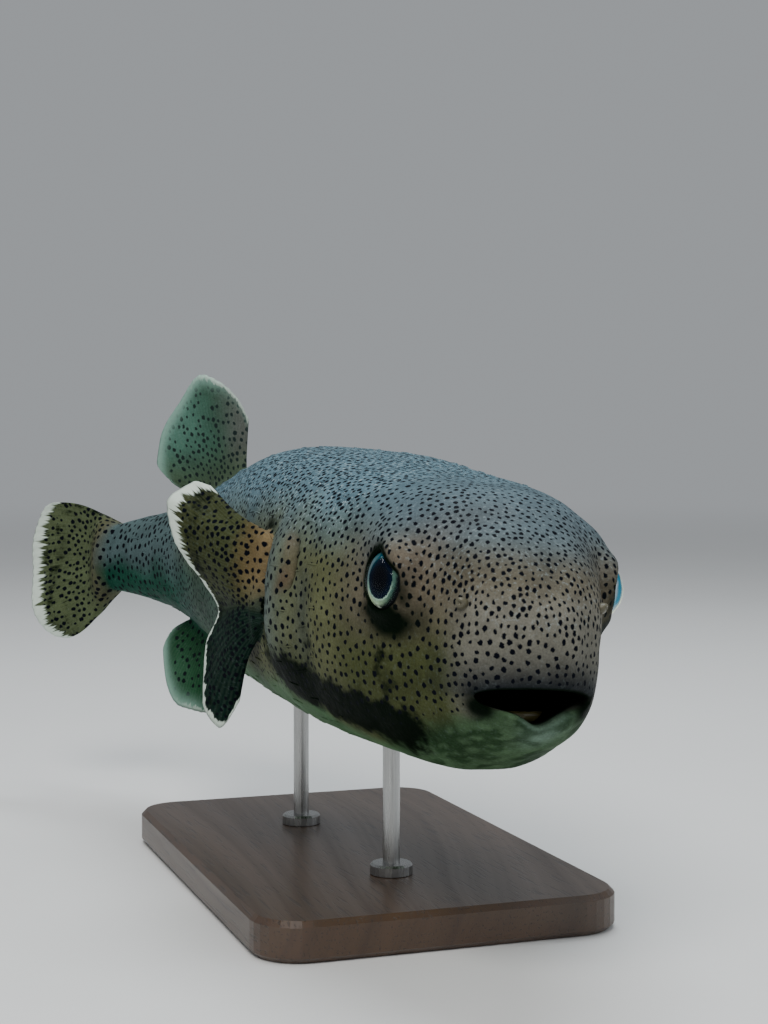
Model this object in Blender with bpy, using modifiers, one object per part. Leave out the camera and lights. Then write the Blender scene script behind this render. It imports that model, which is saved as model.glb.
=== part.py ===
"""Spotted porcupinefish, life size, as a still museum model on a plain display stand.

Metres, +Z up. The fish faces -Y and its right side is towards -X. Lengths along the fish are
fractions of TOTAL_LENGTH measured back from the upper lip, before the tail is swung to its right.
"""

import math

import bmesh
import bpy
import numpy as np

# ---------------------------------------------------------------- driving dimensions
TOTAL_LENGTH = 0.550  # upper lip to the end of the tail fin
BANK = 3.75  # degrees: the left side is carried lower than the right
TAIL_SWING_START = 0.35  # fraction of the length where the rear begins to swing to the right
TAIL_SWING = 58.8  # degrees of turn per body length behind that
GAP = 0.0003  # clear gap between neighbouring nodes

HEAD_END = 0.272  # fractions of the length where the body is parted
TRUNK_END = 0.685
STALK_END = 0.870
BACK_POWER = 2.8  # superellipse exponent of the upper half of the head and trunk sections
BELLY_POWER = 2.65
STALK_POWER = 2.2
JAW_TAPER = 0.08  # how much narrower the head is at its underside

# fraction of length, half width, top and bottom of the section, all in total lengths
SECTIONS = (
    (0.00, 0.0240, 0.0150, -0.0510),  # blunt front of the upper lip
    (0.02, 0.0490, 0.0440, -0.0770),
    (0.06, 0.0705, 0.0735, -0.0985),  # nostrils
    (0.11, 0.0945, 0.0955, -0.1160),  # just behind the eyes
    (0.17, 0.1135, 0.1025, -0.1170),
    (0.25, 0.1215, 0.1100, -0.1165),  # gill openings
    (0.35, 0.1205, 0.1215, -0.1155),
    (0.45, 0.1126, 0.1255, -0.1120),  # highest point of the back
    (0.55, 0.0948, 0.1125, -0.1004),
    (0.65, 0.0698, 0.0880, -0.0775),
    (0.75, 0.0451, 0.0590, -0.0540),
    (0.83, 0.0265, 0.0420, -0.0450),
    (0.87, 0.0180, 0.0325, -0.0425),  # root of the tail fin
)

MOUTH_HALF_WIDTH = 0.0425
MOUTH_CORNER_Z = -0.0500
MOUTH_RISE = 0.0075  # upper lip above the corners
MOUTH_DROP = 0.0200  # lower lip below the corners
MOUTH_INSIDE = (  # depth behind the lips, half width, rise and drop from the corners' height
    (0.045, 0.020, 0.004, 0.010),
    (0.036, 0.034, 0.012, 0.017),
    (0.016, 0.039, 0.0165, 0.0215),
    (0.005, 0.041, 0.0095, 0.0190),
)
LIP_ROUND = 0.0045
LIP_BLUNT = 0.006  # how far the front of the upper lip bulges
LIP_ROLL = 0.0020  # how far the lips stand out, where, and over what width
LIP_ROLL_AWAY, LIP_ROLL_SPREAD = 0.008, 0.006

EYE_CENTRE = (0.0790, 0.0985, 0.0225)  # out from the midline, back from the lip, up
EYE_RADIUS = 0.0238
EYE_OUT = 76.0  # degrees from straight ahead
EYE_UP = 3.0
RIM_HEIGHT = 0.0060  # the fold of skin round each eye
RIM_REACH = 0.030
RIM_BLEND = 0.012
BROW = (0.084, 0.098, 0.052)  # middle of the ridge over each eye
BROW_HEIGHT = 0.0085
BROW_REACH = 0.024

GILL = (0.252, 0.000)  # fraction and height of the swelling in front of the pectoral fin
GILL_HEIGHT = 0.0090
GILL_SPREAD = (0.030, 0.052)  # along the fish and up it
SLIT = (0.212, 0.024)  # fraction and height of the crease ahead of it
SLIT_DEPTH = 0.0032
SLIT_SPREAD = (0.010, 0.026)
NOSTRIL = (0.0290, 0.0130)  # fraction of length, height
NOSTRIL_OUT = (0.74, -0.66, 0.13)
NOSTRIL_RADIUS = 0.0030  # metres

TOOTH_HALF = (0.0240, 0.0030, 0.0040)  # half width, depth and height of a tooth plate
# place back from the lip and height, and how fast the ends curve back and up
TOOTH_PLATES = (
    ("upper", (0.0180, -0.0385), (12.0, -3.0)),
    ("lower", (0.0350, -0.0658), (12.0, 3.0)),
)

# fins: thickness at the root and at the margin, metres
CAUDAL_THICK = (0.0170, 0.0012)
MEDIAN_THICK = (0.0085, 0.0010)
PECTORAL_THICK = (0.0060, 0.0009)

CAUDAL_HALF_ANGLE = 22.5
CAUDAL_APEX = 0.0930  # the rays fan out from this far ahead of the fin's root
CAUDAL_LENGTH = 0.139
CAUDAL_DROOP = 11.0
CAUDAL_CUP = 0.010

# place along the root (0 front, 1 rear), backward and upward reach of the ray
DORSAL_ROOT = (0.655, 0.735)
DORSAL_RAYS = (
    (0.00, 0.002, 0.070),
    (0.12, 0.004, 0.095),
    (0.30, 0.012, 0.114),
    (0.50, 0.022, 0.120),
    (0.70, 0.030, 0.103),
    (0.88, 0.042, 0.070),
    (1.00, 0.038, 0.038),
)
ANAL_ROOT = (0.665, 0.735)
ANAL_RAYS = (
    (0.00, 0.002, 0.070),
    (0.25, 0.008, 0.096),
    (0.50, 0.014, 0.098),
    (0.75, 0.020, 0.080),
    (1.00, 0.020, 0.042),
)
MEDIAN_SWING = 15.0  # degrees: the free part of both fins swings to the right
MEDIAN_BOW = 0.010
MEDIAN_BURIED = 0.020  # how far the middle surface runs on inside the body

PECTORAL_ROOT = (0.300, 0.312, 0.048, -0.044)  # top and bottom fraction, top and bottom height
PECTORAL_BURIED = 0.16  # share of a ray
PECTORAL_FLARE = 24.0  # degrees that a ray stands out more at its root than at its tip
# place down the root (0 top), horizontal reach, rise, degrees out from straight back
RIGHT_PECTORAL_RAYS = (
    (0.00, 0.094, 0.034, 19.0),
    (0.10, 0.112, 0.045, 21.0),
    (0.21, 0.118, 0.038, 31.0),
    (0.36, 0.108, 0.021, 32.0),
    (0.50, 0.096, 0.014, 28.0),
    (0.60, 0.083, 0.005, 20.0),
    (0.68, 0.080, -0.012, 9.0),  # the fold between the two lobes
    (0.76, 0.090, -0.036, 13.0),
    (0.86, 0.090, -0.074, 14.0),
    (0.94, 0.074, -0.088, 9.0),
    (1.00, 0.044, -0.056, 4.0),
)
LEFT_PECTORAL_RAYS = (
    (0.00, 0.098, 0.046, 24.0),
    (0.12, 0.114, 0.040, 27.0),
    (0.30, 0.112, 0.020, 31.0),
    (0.50, 0.103, -0.004, 32.0),
    (0.70, 0.095, -0.032, 30.0),
    (0.88, 0.080, -0.056, 24.0),
    (1.00, 0.048, -0.050, 16.0),
)

# the stand, metres
BASE_SIZE = (0.170, 0.270, 0.018)
BASE_CORNER = 0.022
BASE_CHAMFER = 0.0025
BASE_CENTRE = 0.42  # the fraction of the fish's length that is over the middle of the base
AXIS_HEIGHT = 0.130  # the fish's axis above the top of the base
ROD_RADIUS = 0.004
ROD_FRACTIONS = (("front", 0.30), ("rear", 0.52))
ROD_DEPTH = 0.014  # how far each rod goes up into the belly
ROD_CHAMFER = 0.001
FOOT_RADIUS = 0.010
FOOT_HEIGHT = 0.005

AROUND = 44  # points round each body section
MUZZLE_RINGS, HEAD_RINGS, TRUNK_RINGS, STALK_RINGS = 8, 9, 13, 7


# ---------------------------------------------------------------- curves
def curve(rows, column, at):
    """A smooth curve through one column of a table, with no overshoot between its rows."""
    x = np.array([row[0] for row in rows])
    y = np.array([row[column] for row in rows])
    step = np.diff(x)
    slope = np.diff(y) / step
    left, right = slope[:-1], slope[1:]
    same_way = left * right > 0
    w1, w2 = 2 * step[1:] + step[:-1], step[1:] + 2 * step[:-1]
    mean = (w1 + w2) / (w1 / np.where(same_way, left, 1.0) + w2 / np.where(same_way, right, 1.0))
    tangent = np.concatenate([slope[:1], np.where(same_way, mean, 0.0), slope[-1:]])
    at = np.clip(np.asarray(at, float), x[0], x[-1])
    i = np.clip(np.searchsorted(x, at, side="right") - 1, 0, len(step) - 1)
    t = (at - x[i]) / step[i]
    value = y[i] * (1 + 2 * t) * (1 - t) ** 2 + y[i + 1] * t * t * (3 - 2 * t)
    return value + step[i] * t * (1 - t) * (tangent[i] * (1 - t) - tangent[i + 1] * t)


def ease(value):
    value = np.clip(value, 0.0, 1.0)
    return value * value * (3 - 2 * value)


def bell(value, power=2):
    return np.exp(-np.abs(value) ** power)


# ---------------------------------------------------------------- body surface
def section(fraction):
    """Half width, middle height and half height of the section at each fraction."""
    top, bottom = curve(SECTIONS, 2, fraction), curve(SECTIONS, 3, fraction)
    return curve(SECTIONS, 1, fraction), (top + bottom) / 2, (top - bottom) / 2


def power_of(fraction, up):
    """Superellipse exponent of a section; up runs from -1 at the belly to 1 at the back."""
    trunk = BELLY_POWER + (BACK_POWER - BELLY_POWER) * ease((up + 0.35) / 0.7)
    return trunk + (STALK_POWER - trunk) * ease((fraction - 0.5) / 0.25)


def taper_of(fraction, up):
    """The head narrows below the eyes; the trunk doesn't."""
    below = np.clip(0.1 - up, 0, 1.1)
    return 1 - JAW_TAPER * below * (1 - ease((fraction - 0.12) / 0.16))


def lateral_at(fraction, z):
    """Half width of the body at a height on a section."""
    width, middle, height = section(fraction)
    up = np.clip((z - middle) / height, -1, 1)
    power = power_of(fraction, up)
    return width * taper_of(fraction, up) * (1 - np.abs(up) ** power) ** (1 / power)


def front_fraction(x, z):
    """How far back the head's surface is at a place seen from straight ahead."""
    low, high = np.zeros_like(x), np.full_like(x, 0.12)
    for _ in range(34):
        at = (low + high) / 2
        _, middle, height = section(at)
        outside = (np.abs(z - middle) > height) | (np.abs(x) > lateral_at(at, z))
        low, high = np.where(outside, at, low), np.where(outside, high, at)
    width, middle, height = section(np.zeros_like(x))
    inside = np.hypot(x / width, (z - middle) / height)
    return low - LIP_BLUNT * np.clip(1 - inside**2, 0, None)


def ring_of(fraction):
    """One section as a ring of points, evenly spread by angle, starting at the fish's left."""
    angle = np.arange(AROUND) * 2 * math.pi / AROUND
    at = np.full(AROUND, fraction)
    width, middle, height = section(at)
    c, s = np.cos(angle), np.sin(angle)
    up = s
    for _ in range(12):  # the exponent and the taper depend on the height that they give
        power = power_of(at, up)
        wide = width * taper_of(at, up)
        reach = (np.abs(c / wide) ** power + np.abs(s / height) ** power) ** (-1 / power)
        up = reach * s / height
    return np.stack([reach * c, at, middle + reach * s], -1)


def mouth_ring(half_width, rise, drop):
    """A lens seen from ahead, between the corners of the mouth."""
    angle = np.arange(AROUND) * 2 * math.pi / AROUND
    c, s = np.cos(angle), np.sin(angle)
    z = MOUTH_CORNER_Z + np.where(s > 0, rise, drop) * s
    return np.stack([half_width * c, np.zeros(AROUND), z], -1)


def muzzle_rings(first_section):
    """The mouth's inside, the lips and the front of the head, out to the first plain section."""
    outline = mouth_ring(MOUTH_HALF_WIDTH, MOUTH_RISE, MOUTH_DROP)
    outer = ring_of(first_section)
    lip_back = front_fraction(outline[:, 0], outline[:, 2]) + LIP_ROUND
    rings = []
    for depth, half_width, rise, drop in MOUTH_INSIDE:
        ring = mouth_ring(half_width, rise, drop)
        ring[:, 1] = lip_back + depth
        rings.append(ring)
    for share in (0.0, 0.022, 0.06, *np.linspace(0.12, 1.0, MUZZLE_RINGS)[:-1]):
        ring = outline + (outer - outline) * share
        away = np.hypot(ring[:, 0] - outline[:, 0], ring[:, 2] - outline[:, 2])
        edge = np.clip(LIP_ROUND - away, 0, None)
        rounding = LIP_ROUND - np.sqrt(np.clip(LIP_ROUND**2 - edge**2, 0, None))
        roll = LIP_ROLL * bell((away - LIP_ROLL_AWAY) / LIP_ROLL_SPREAD)
        ring[:, 1] = front_fraction(ring[:, 0], ring[:, 2]) + rounding - roll
        rings.append(ring)
    return rings


def eye_axis(side):
    out, up = math.radians(EYE_OUT), math.radians(EYE_UP)
    flat = math.cos(up)
    return np.array([side * math.sin(out) * flat, -math.cos(out) * flat, math.sin(up)])


def swellings(grid):
    """How far each point stands out over the plain sections."""
    rise = np.zeros(grid.shape[:2])
    for side in (-1, 1):
        mirror = np.array([side, 1, 1])
        offset = grid - np.array(EYE_CENTRE) * mirror
        along = offset @ eye_axis(side)
        radial = np.linalg.norm(offset - along[..., None] * eye_axis(side), axis=-1)
        rise += RIM_HEIGHT * bell(radial / RIM_REACH, 3) * ease(along / RIM_BLEND)
        over = np.linalg.norm(grid - np.array(BROW) * mirror, axis=-1)
        rise += BROW_HEIGHT * bell(over / BROW_REACH)

        beside = side * grid[..., 0] > 0
        back, up = grid[..., 1] - GILL[0], grid[..., 2] - GILL[1]
        swell = bell(back / GILL_SPREAD[0]) * bell(up / GILL_SPREAD[1], 4)
        rise += GILL_HEIGHT * swell * beside
        back, up = grid[..., 1] - SLIT[0], grid[..., 2] - SLIT[1]
        crease = bell(back / SLIT_SPREAD[0]) * bell(up / SLIT_SPREAD[1], 4)
        rise -= SLIT_DEPTH * crease * beside
    return rise


def body_grid(fractions, with_mouth=True, swell=0.0):
    """Rings of the body in total lengths, from the inside of the mouth to the last fraction."""
    rings = muzzle_rings(fractions[0]) if with_mouth else []
    grid = np.array(rings + [ring_of(fraction) for fraction in fractions])
    along = np.gradient(grid, axis=0)
    across = np.roll(grid, -1, axis=1) - np.roll(grid, 1, axis=1)
    normal = np.cross(along, across)
    normal /= np.maximum(np.linalg.norm(normal, axis=-1, keepdims=True), 1e-12)
    return grid + normal * (swellings(grid) + swell)[..., None]


# ---------------------------------------------------------------- fins
def caudal_fin(rows, columns):
    """Middle surface and thickness of the tail fin: rows run outwards, columns downwards."""
    across = np.linspace(-1, 1, columns)[None, :]
    out = np.linspace(0, 1, rows)[:, None]
    angle = np.radians(CAUDAL_HALF_ANGLE) * across * (1 + 0.055 * across)
    rim = CAUDAL_LENGTH * (1 - 0.01 * across - 0.06 * across**2 - 0.14 * np.abs(across) ** 9)
    root = CAUDAL_APEX / np.cos(angle)
    radius = root + (CAUDAL_APEX + rim - root) * out
    back = radius * np.cos(angle) - CAUDAL_APEX
    up = -radius * np.sin(angle)
    droop = np.radians(CAUDAL_DROOP)
    start = STALK_END + 2 * GAP / TOTAL_LENGTH
    fraction = start + back * math.cos(droop) + up * math.sin(droop) * out
    _, middle, _ = section(np.array(STALK_END))
    height = middle + up * (1 - (1 - math.cos(droop)) * out) - back * math.sin(droop)
    cup = -CAUDAL_CUP * np.sin(math.pi * across) * out**1.5
    root_thick, margin = CAUDAL_THICK
    thick = margin + (root_thick - margin) * (1 - out) ** 1.7 * (1 - 0.35 * across**2)
    return np.stack([cup, fraction, height], -1), thick


def median_fin(rays, root, upward, rows, columns):
    """A dorsal or anal fin: rows run out along the rays, columns run back along the root."""
    place = np.linspace(0, 1, columns)[None, :]
    fraction = root[0] + (root[1] - root[0]) * place
    _, middle, height = section(fraction)
    back, rise = curve(rays, 1, place), curve(rays, 2, place)
    buried = MEDIAN_BURIED / rise
    travel = np.linspace(0, 1, rows)[:, None] * (1 + buried) - buried
    y = fraction + back * np.sign(travel) * np.abs(travel) ** 1.15
    z = middle + upward * (height + rise * travel)
    swing = np.tan(np.radians(MEDIAN_SWING)) * (y - root[0]) * ease(travel / 0.7)
    bow = MEDIAN_BOW * np.sin(math.pi * place) * np.clip(travel, 0, 1)
    root_thick, margin = MEDIAN_THICK
    edge = 1 - 0.45 * np.abs(2 * place - 1) ** 6
    thick = margin + (root_thick - margin) * (1 - np.clip(travel, 0, 1)) ** 1.6 * edge
    return np.stack([-swing - bow, y, z], -1), thick


def pectoral_fin(rays, side, rows, columns):
    """A fan behind the gill opening: rows run out along the rays, columns down the root."""
    place = np.linspace(0, 1, columns)[None, :]
    travel = np.linspace(-PECTORAL_BURIED, 1, rows)[:, None]
    out = np.clip(travel, 0, 1)
    top_s, bottom_s, top_z, bottom_z = PECTORAL_ROOT
    fraction = top_s + (bottom_s - top_s) * place
    height = top_z + (bottom_z - top_z) * place
    reach, rise = curve(rays, 1, place), curve(rays, 2, place)
    turn = np.radians(curve(rays, 3, place) + PECTORAL_FLARE * (1 - out) ** 2)
    x = lateral_at(fraction, height) + reach * travel * np.sin(turn)
    y = fraction + reach * travel * np.cos(turn)
    z = height + rise * travel * (0.75 + 0.25 * out)
    root_thick, margin = PECTORAL_THICK
    edge = 1 - 0.4 * np.abs(2 * place - 1) ** 6
    thick = margin + (root_thick - margin) * (1 - out) ** 1.5 * edge
    return np.stack([side * x, y, z], -1), thick


# ---------------------------------------------------------------- pose
def posed(points):
    """From total lengths along a straight fish to metres over the stand."""
    p = np.array(points, float)
    turn = math.radians(TAIL_SWING)
    angle = turn * np.clip(p[..., 1] - TAIL_SWING_START, 0, None)
    x = p[..., 0] * np.cos(angle) - (1 - np.cos(angle)) / turn
    y = np.minimum(p[..., 1], TAIL_SWING_START) + np.sin(angle) / turn + p[..., 0] * np.sin(angle)
    bank = math.radians(BANK)
    banked_x = x * math.cos(bank) + p[..., 2] * math.sin(bank)
    banked_z = p[..., 2] * math.cos(bank) - x * math.sin(bank)
    world = np.stack([banked_x, y - BASE_CENTRE, banked_z], -1) * TOTAL_LENGTH
    return world + np.array([0, 0, BASE_SIZE[2] + AXIS_HEIGHT])


# ---------------------------------------------------------------- meshes and objects
def clear_scene():
    for obj in list(bpy.data.objects):
        bpy.data.objects.remove(obj, do_unlink=True)


def new_collection(name):
    made = bpy.data.collections.new(name)
    bpy.context.scene.collection.children.link(made)
    return made


def material(name, colour, roughness, metallic=0.0):
    made = bpy.data.materials.new(name)
    made.use_nodes = True
    shader = made.node_tree.nodes["Principled BSDF"]
    shader.inputs["Base Color"].default_value = (*colour, 1.0)
    shader.inputs["Roughness"].default_value = roughness
    shader.inputs["Metallic"].default_value = metallic
    made.diffuse_color = (*colour, 1.0)
    return made


def add_object(name, mesh, collection, look=None, location=(0, 0, 0)):
    """A named object; with no look it is a cutter, which the model leaves out."""
    obj = bpy.data.objects.new(name, mesh)
    obj.location = location
    collection.objects.link(obj)
    if look:
        mesh.materials.append(look)
        mesh.shade_smooth()
        mesh.set_sharp_from_angle(angle=math.radians(40))
    else:
        obj.hide_render = True
        obj.display_type = "WIRE"
    return obj


def mesh_of(name, edit):
    mesh = bpy.data.meshes.new(name)
    edit.to_mesh(mesh)
    edit.free()
    return mesh


def add_loft(name, grid, collection, look=None):
    """A closed body from a grid of rings, each end shut by a fan of triangles."""
    edit = bmesh.new()
    rings = [[edit.verts.new(point) for point in ring] for ring in grid]
    for near, far in zip(rings, rings[1:]):
        for a, b, c, d in zip(near, near[1:] + near[:1], far[1:] + far[:1], far):
            edit.faces.new((a, b, c, d))
    for ring, points in ((rings[0], grid[0]), (rings[-1], grid[-1])):
        hub = edit.verts.new(points.mean(0))
        for a, b in zip(ring, ring[1:] + ring[:1]):
            edit.faces.new((hub, a, b))
    bmesh.ops.recalc_face_normals(edit, faces=edit.faces)
    return add_object(name, mesh_of(name, edit), collection, look)


def add_fin(name, middle, thick, collection, look):
    """An open sheet, made solid by a Solidify modifier that follows the thickness."""
    edit = bmesh.new()
    rows = [[edit.verts.new(point) for point in row] for row in middle]
    for near, far in zip(rows, rows[1:]):
        for a, b, c, d in zip(near, near[1:], far[1:], far):
            edit.faces.new((a, b, c, d))
    obj = add_object(name, mesh_of(name, edit), collection, look)
    group = obj.vertex_groups.new(name="thickness")
    most = float(thick.max())
    for index, value in enumerate(np.broadcast_to(thick, middle.shape[:2]).ravel()):
        group.add([index], float(value) / most, "REPLACE")
    solidify = obj.modifiers.new("thickness", "SOLIDIFY")
    solidify.thickness = most
    solidify.offset = 0.0
    solidify.vertex_group = group.name
    return obj


def add_ball(name, centre, radius, collection, look=None, segments=20, rings=12):
    edit = bmesh.new()
    bmesh.ops.create_uvsphere(edit, u_segments=segments, v_segments=rings, radius=radius)
    return add_object(name, mesh_of(name, edit), collection, look, centre)


def add_turned(name, profile, location, collection, look=None, sides=20):
    """A turned piece: a profile of (radius, height) from the top down, and a Screw modifier."""
    edit = bmesh.new()
    points = [edit.verts.new((radius, 0, height)) for radius, height in profile]
    for above, below in zip(points, points[1:]):
        edit.edges.new((above, below))
    obj = add_object(name, mesh_of(name, edit), collection, look, location)
    screw = obj.modifiers.new("turn", "SCREW")
    screw.axis = "Z"
    screw.steps = sides
    screw.render_steps = sides
    screw.use_merge_vertices = True
    screw.merge_threshold = 0.00001
    return obj


def cut(target, cutter):
    modifier = target.modifiers.new(f"cut {cutter.name}", "BOOLEAN")
    modifier.operation = "DIFFERENCE"
    modifier.solver = "EXACT"
    modifier.object = cutter


# ---------------------------------------------------------------- sub-parts
def build_body(model, skin):
    """Head, trunk and tail stalk: runs of rings of one grid, parted by thin gaps."""
    half_gap = GAP / 2 / TOTAL_LENGTH
    runs = (
        ("head", np.concatenate([[0.06, 0.08], np.linspace(0.10, HEAD_END - half_gap, HEAD_RINGS)])),
        ("trunk", np.linspace(HEAD_END + half_gap, TRUNK_END - half_gap, TRUNK_RINGS)),
        ("tail_stalk", np.linspace(TRUNK_END + half_gap, STALK_END, STALK_RINGS)),
    )
    whole = posed(body_grid(np.concatenate([run for _, run in runs])))
    start, found = 0, {}
    stop = len(whole) - sum(len(run) for _, run in runs)
    for name, run in runs:
        stop += len(run)
        found[name] = add_loft(name, whole[start:stop], model, skin)
        start = stop
    return found


def build_envelope(cutters):
    """The body with a clear gap all round, to cut the fins and nostrils back to."""
    fractions = np.concatenate([[0.0, 0.01, 0.02, 0.04], np.linspace(0.06, STALK_END, 24)])
    grid = body_grid(fractions, with_mouth=False, swell=1.6 * GAP / TOTAL_LENGTH)
    return add_loft("body_envelope", posed(grid), cutters)


def build_eyes(model, cutters, head, look):
    radius = EYE_RADIUS * TOTAL_LENGTH
    for side, word in ((-1, "right"), (1, "left")):
        centre = posed(np.array(EYE_CENTRE) * (side, 1, 1))
        add_ball(f"eye_{word}", centre, radius, model, look)
        socket = add_ball(f"eye_socket_{word}", centre, radius + 2.4 * GAP, cutters, None, 18, 11)
        cut(head, socket)


def build_nostrils(model, envelope, look):
    """A short soft knob on each side of the snout."""
    lateral = float(lateral_at(np.array(NOSTRIL[0]), np.array(NOSTRIL[1])))
    place = np.array([lateral, *NOSTRIL]) + 0.5 * NOSTRIL_RADIUS * np.array(NOSTRIL_OUT)
    for side, word in ((-1, "right"), (1, "left")):
        centre = posed(place * (side, 1, 1))
        cut(add_ball(f"nostril_{word}", centre, NOSTRIL_RADIUS, model, look, 12, 8), envelope)


def build_teeth(model, look):
    """A curved plate behind each lip."""
    for word, (back, height), (backward, upward) in TOOTH_PLATES:
        plate = add_ball(f"{word}_tooth_plate", (0, 0, 0), 1.0, model, look, 12, 7)
        for vertex in plate.data.vertices:
            x, y, z = (value * half for value, half in zip(vertex.co, TOOTH_HALF))
            bent = (x, back + y + backward * x**2, height + z + upward * x**2)
            vertex.co = posed(bent)


def build_fins(model, envelope, look):
    middle, thick = caudal_fin(9, 17)
    add_fin("caudal_fin", posed(middle), thick, model, look)
    fins = (
        ("dorsal_fin", *median_fin(DORSAL_RAYS, DORSAL_ROOT, 1, 7, 13)),
        ("anal_fin", *median_fin(ANAL_RAYS, ANAL_ROOT, -1, 7, 13)),
        ("pectoral_fin_right", *pectoral_fin(RIGHT_PECTORAL_RAYS, -1, 7, 19)),
        ("pectoral_fin_left", *pectoral_fin(LEFT_PECTORAL_RAYS, 1, 7, 19)),
    )
    for name, middle, thick in fins:
        cut(add_fin(name, posed(middle), thick, model, look), envelope)


def build_base(model, look):
    """A flat board with round corners and chamfered edges."""
    edit = bmesh.new()
    bmesh.ops.create_cube(edit, size=1.0)
    for vertex in edit.verts:
        vertex.co = [value * side for value, side in zip(vertex.co, BASE_SIZE)]
    upright = [e for e in edit.edges if abs(e.verts[0].co.z - e.verts[1].co.z) > BASE_SIZE[2] / 2]
    bmesh.ops.bevel(edit, geom=upright, offset=BASE_CORNER, segments=7, profile=0.5, affect="EDGES")
    base = add_object("stand_base", mesh_of("stand_base", edit), model, look)
    base.location.z = BASE_SIZE[2] / 2
    chamfer = base.modifiers.new("chamfer", "BEVEL")
    chamfer.width = BASE_CHAMFER
    chamfer.segments = 1
    chamfer.limit_method = "ANGLE"
    chamfer.angle_limit = math.radians(60)


def build_rods(model, cutters, trunk, look):
    """Two footed rods from the base up into sockets in the belly."""
    foot = BASE_SIZE[2] + GAP
    for word, fraction in ROD_FRACTIONS:
        _, middle, half = section(np.array(fraction))
        x, y, belly = posed(np.array([0.0, fraction, float(middle - half)]))
        top = belly + ROD_DEPTH
        profile = (
            (0.0, top),
            (ROD_RADIUS - ROD_CHAMFER, top),
            (ROD_RADIUS, top - ROD_CHAMFER),
            (ROD_RADIUS, foot + FOOT_HEIGHT),
            (FOOT_RADIUS - ROD_CHAMFER, foot + FOOT_HEIGHT),
            (FOOT_RADIUS, foot + FOOT_HEIGHT - ROD_CHAMFER),
            (FOOT_RADIUS, foot),
            (0.0, foot),
        )
        add_turned(f"stand_rod_{word}", profile, (x, y, 0), model, look)
        wide, high = ROD_RADIUS + 1.5 * GAP, top + 2 * GAP
        bore = ((0.0, high), (wide, high), (wide, belly - ROD_DEPTH), (0.0, belly - ROD_DEPTH))
        cut(trunk, add_turned(f"rod_socket_{word}", bore, (x, y, 0), cutters, sides=16))


def main():
    clear_scene()
    model = new_collection("spotted_porcupinefish")
    cutters = new_collection("cutters")
    skin = material("spotted skin", (0.23, 0.20, 0.15), 0.42)
    fin_skin = material("fin skin", (0.27, 0.26, 0.17), 0.45)
    body = build_body(model, skin)
    envelope = build_envelope(cutters)
    build_eyes(model, cutters, body["head"], material("glassy eye", (0.010, 0.014, 0.030), 0.06))
    build_nostrils(model, envelope, skin)
    build_teeth(model, material("tooth plate", (0.62, 0.55, 0.38), 0.35))
    build_fins(model, envelope, fin_skin)
    build_base(model, material("dark oak", (0.060, 0.034, 0.020), 0.45))
    steel = material("brushed steel", (0.56, 0.56, 0.55), 0.32, 1.0)
    build_rods(model, cutters, body["trunk"], steel)


main()
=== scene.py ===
"""Looks of the spotted porcupinefish model: the skin with its fins and markings, spines, eyes,
nostrils, the stand's finishes, and a plain studio. Metres, +Z up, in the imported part's frame.

Local coordinates (x across, y back from the upper lip, z up) run along the straight fish in
total lengths; posed() swings the tail, banks the body and sets it over the stand.
"""

import contextlib
import itertools
import math

import bmesh
import bpy
import numpy as np
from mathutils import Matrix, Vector, kdtree, noise


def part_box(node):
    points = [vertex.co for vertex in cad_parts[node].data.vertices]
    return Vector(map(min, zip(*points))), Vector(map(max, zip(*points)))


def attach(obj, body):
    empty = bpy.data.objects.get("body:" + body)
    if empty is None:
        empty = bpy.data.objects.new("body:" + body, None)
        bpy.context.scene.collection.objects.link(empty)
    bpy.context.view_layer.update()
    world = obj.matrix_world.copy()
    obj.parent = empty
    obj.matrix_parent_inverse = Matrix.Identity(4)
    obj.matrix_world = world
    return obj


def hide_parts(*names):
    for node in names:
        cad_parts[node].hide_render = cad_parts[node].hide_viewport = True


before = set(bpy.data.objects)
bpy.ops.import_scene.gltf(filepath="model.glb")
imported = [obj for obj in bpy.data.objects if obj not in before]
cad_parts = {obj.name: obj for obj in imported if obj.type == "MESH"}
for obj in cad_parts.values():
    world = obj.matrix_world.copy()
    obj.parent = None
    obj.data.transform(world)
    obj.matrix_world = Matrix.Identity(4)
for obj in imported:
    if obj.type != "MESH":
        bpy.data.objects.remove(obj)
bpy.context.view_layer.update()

# ---------------------------------------------------------------- shape
# Lengths are fractions of the total length, and angles are degrees. All is as in the part's
# source, but for the dip of the lower lip, the fuller chin and the ends of the middle fins.
TOTAL_LENGTH = 0.550  # metres
BANK = 3.75
TAIL_SWING_START = 0.35
TAIL_SWING = 58.8  # for each total length behind the start
BASE_CENTRE = 0.42
AXIS_HEIGHT = 0.130  # metres above the base
STALK_END = 0.870
BACK_POWER, BELLY_POWER, STALK_POWER = 2.8, 2.65, 2.2
JAW_TAPER = 0.08

# place along the fish, half width, top and bottom of the section
SECTIONS = (
    (0.00, 0.0240, 0.0150, -0.0510),
    (0.02, 0.0490, 0.0440, -0.0770),
    (0.06, 0.0705, 0.0735, -0.0985),
    (0.11, 0.0945, 0.0955, -0.1160),
    (0.17, 0.1135, 0.1025, -0.1170),
    (0.25, 0.1215, 0.1100, -0.1165),
    (0.35, 0.1205, 0.1215, -0.1155),
    (0.45, 0.1126, 0.1255, -0.1120),
    (0.55, 0.0948, 0.1125, -0.1004),
    (0.65, 0.0698, 0.0880, -0.0775),
    (0.75, 0.0451, 0.0590, -0.0540),
    (0.83, 0.0265, 0.0420, -0.0450),
    (0.87, 0.0180, 0.0325, -0.0425),
)

MOUTH_CORNER_Z = -0.0500
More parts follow.
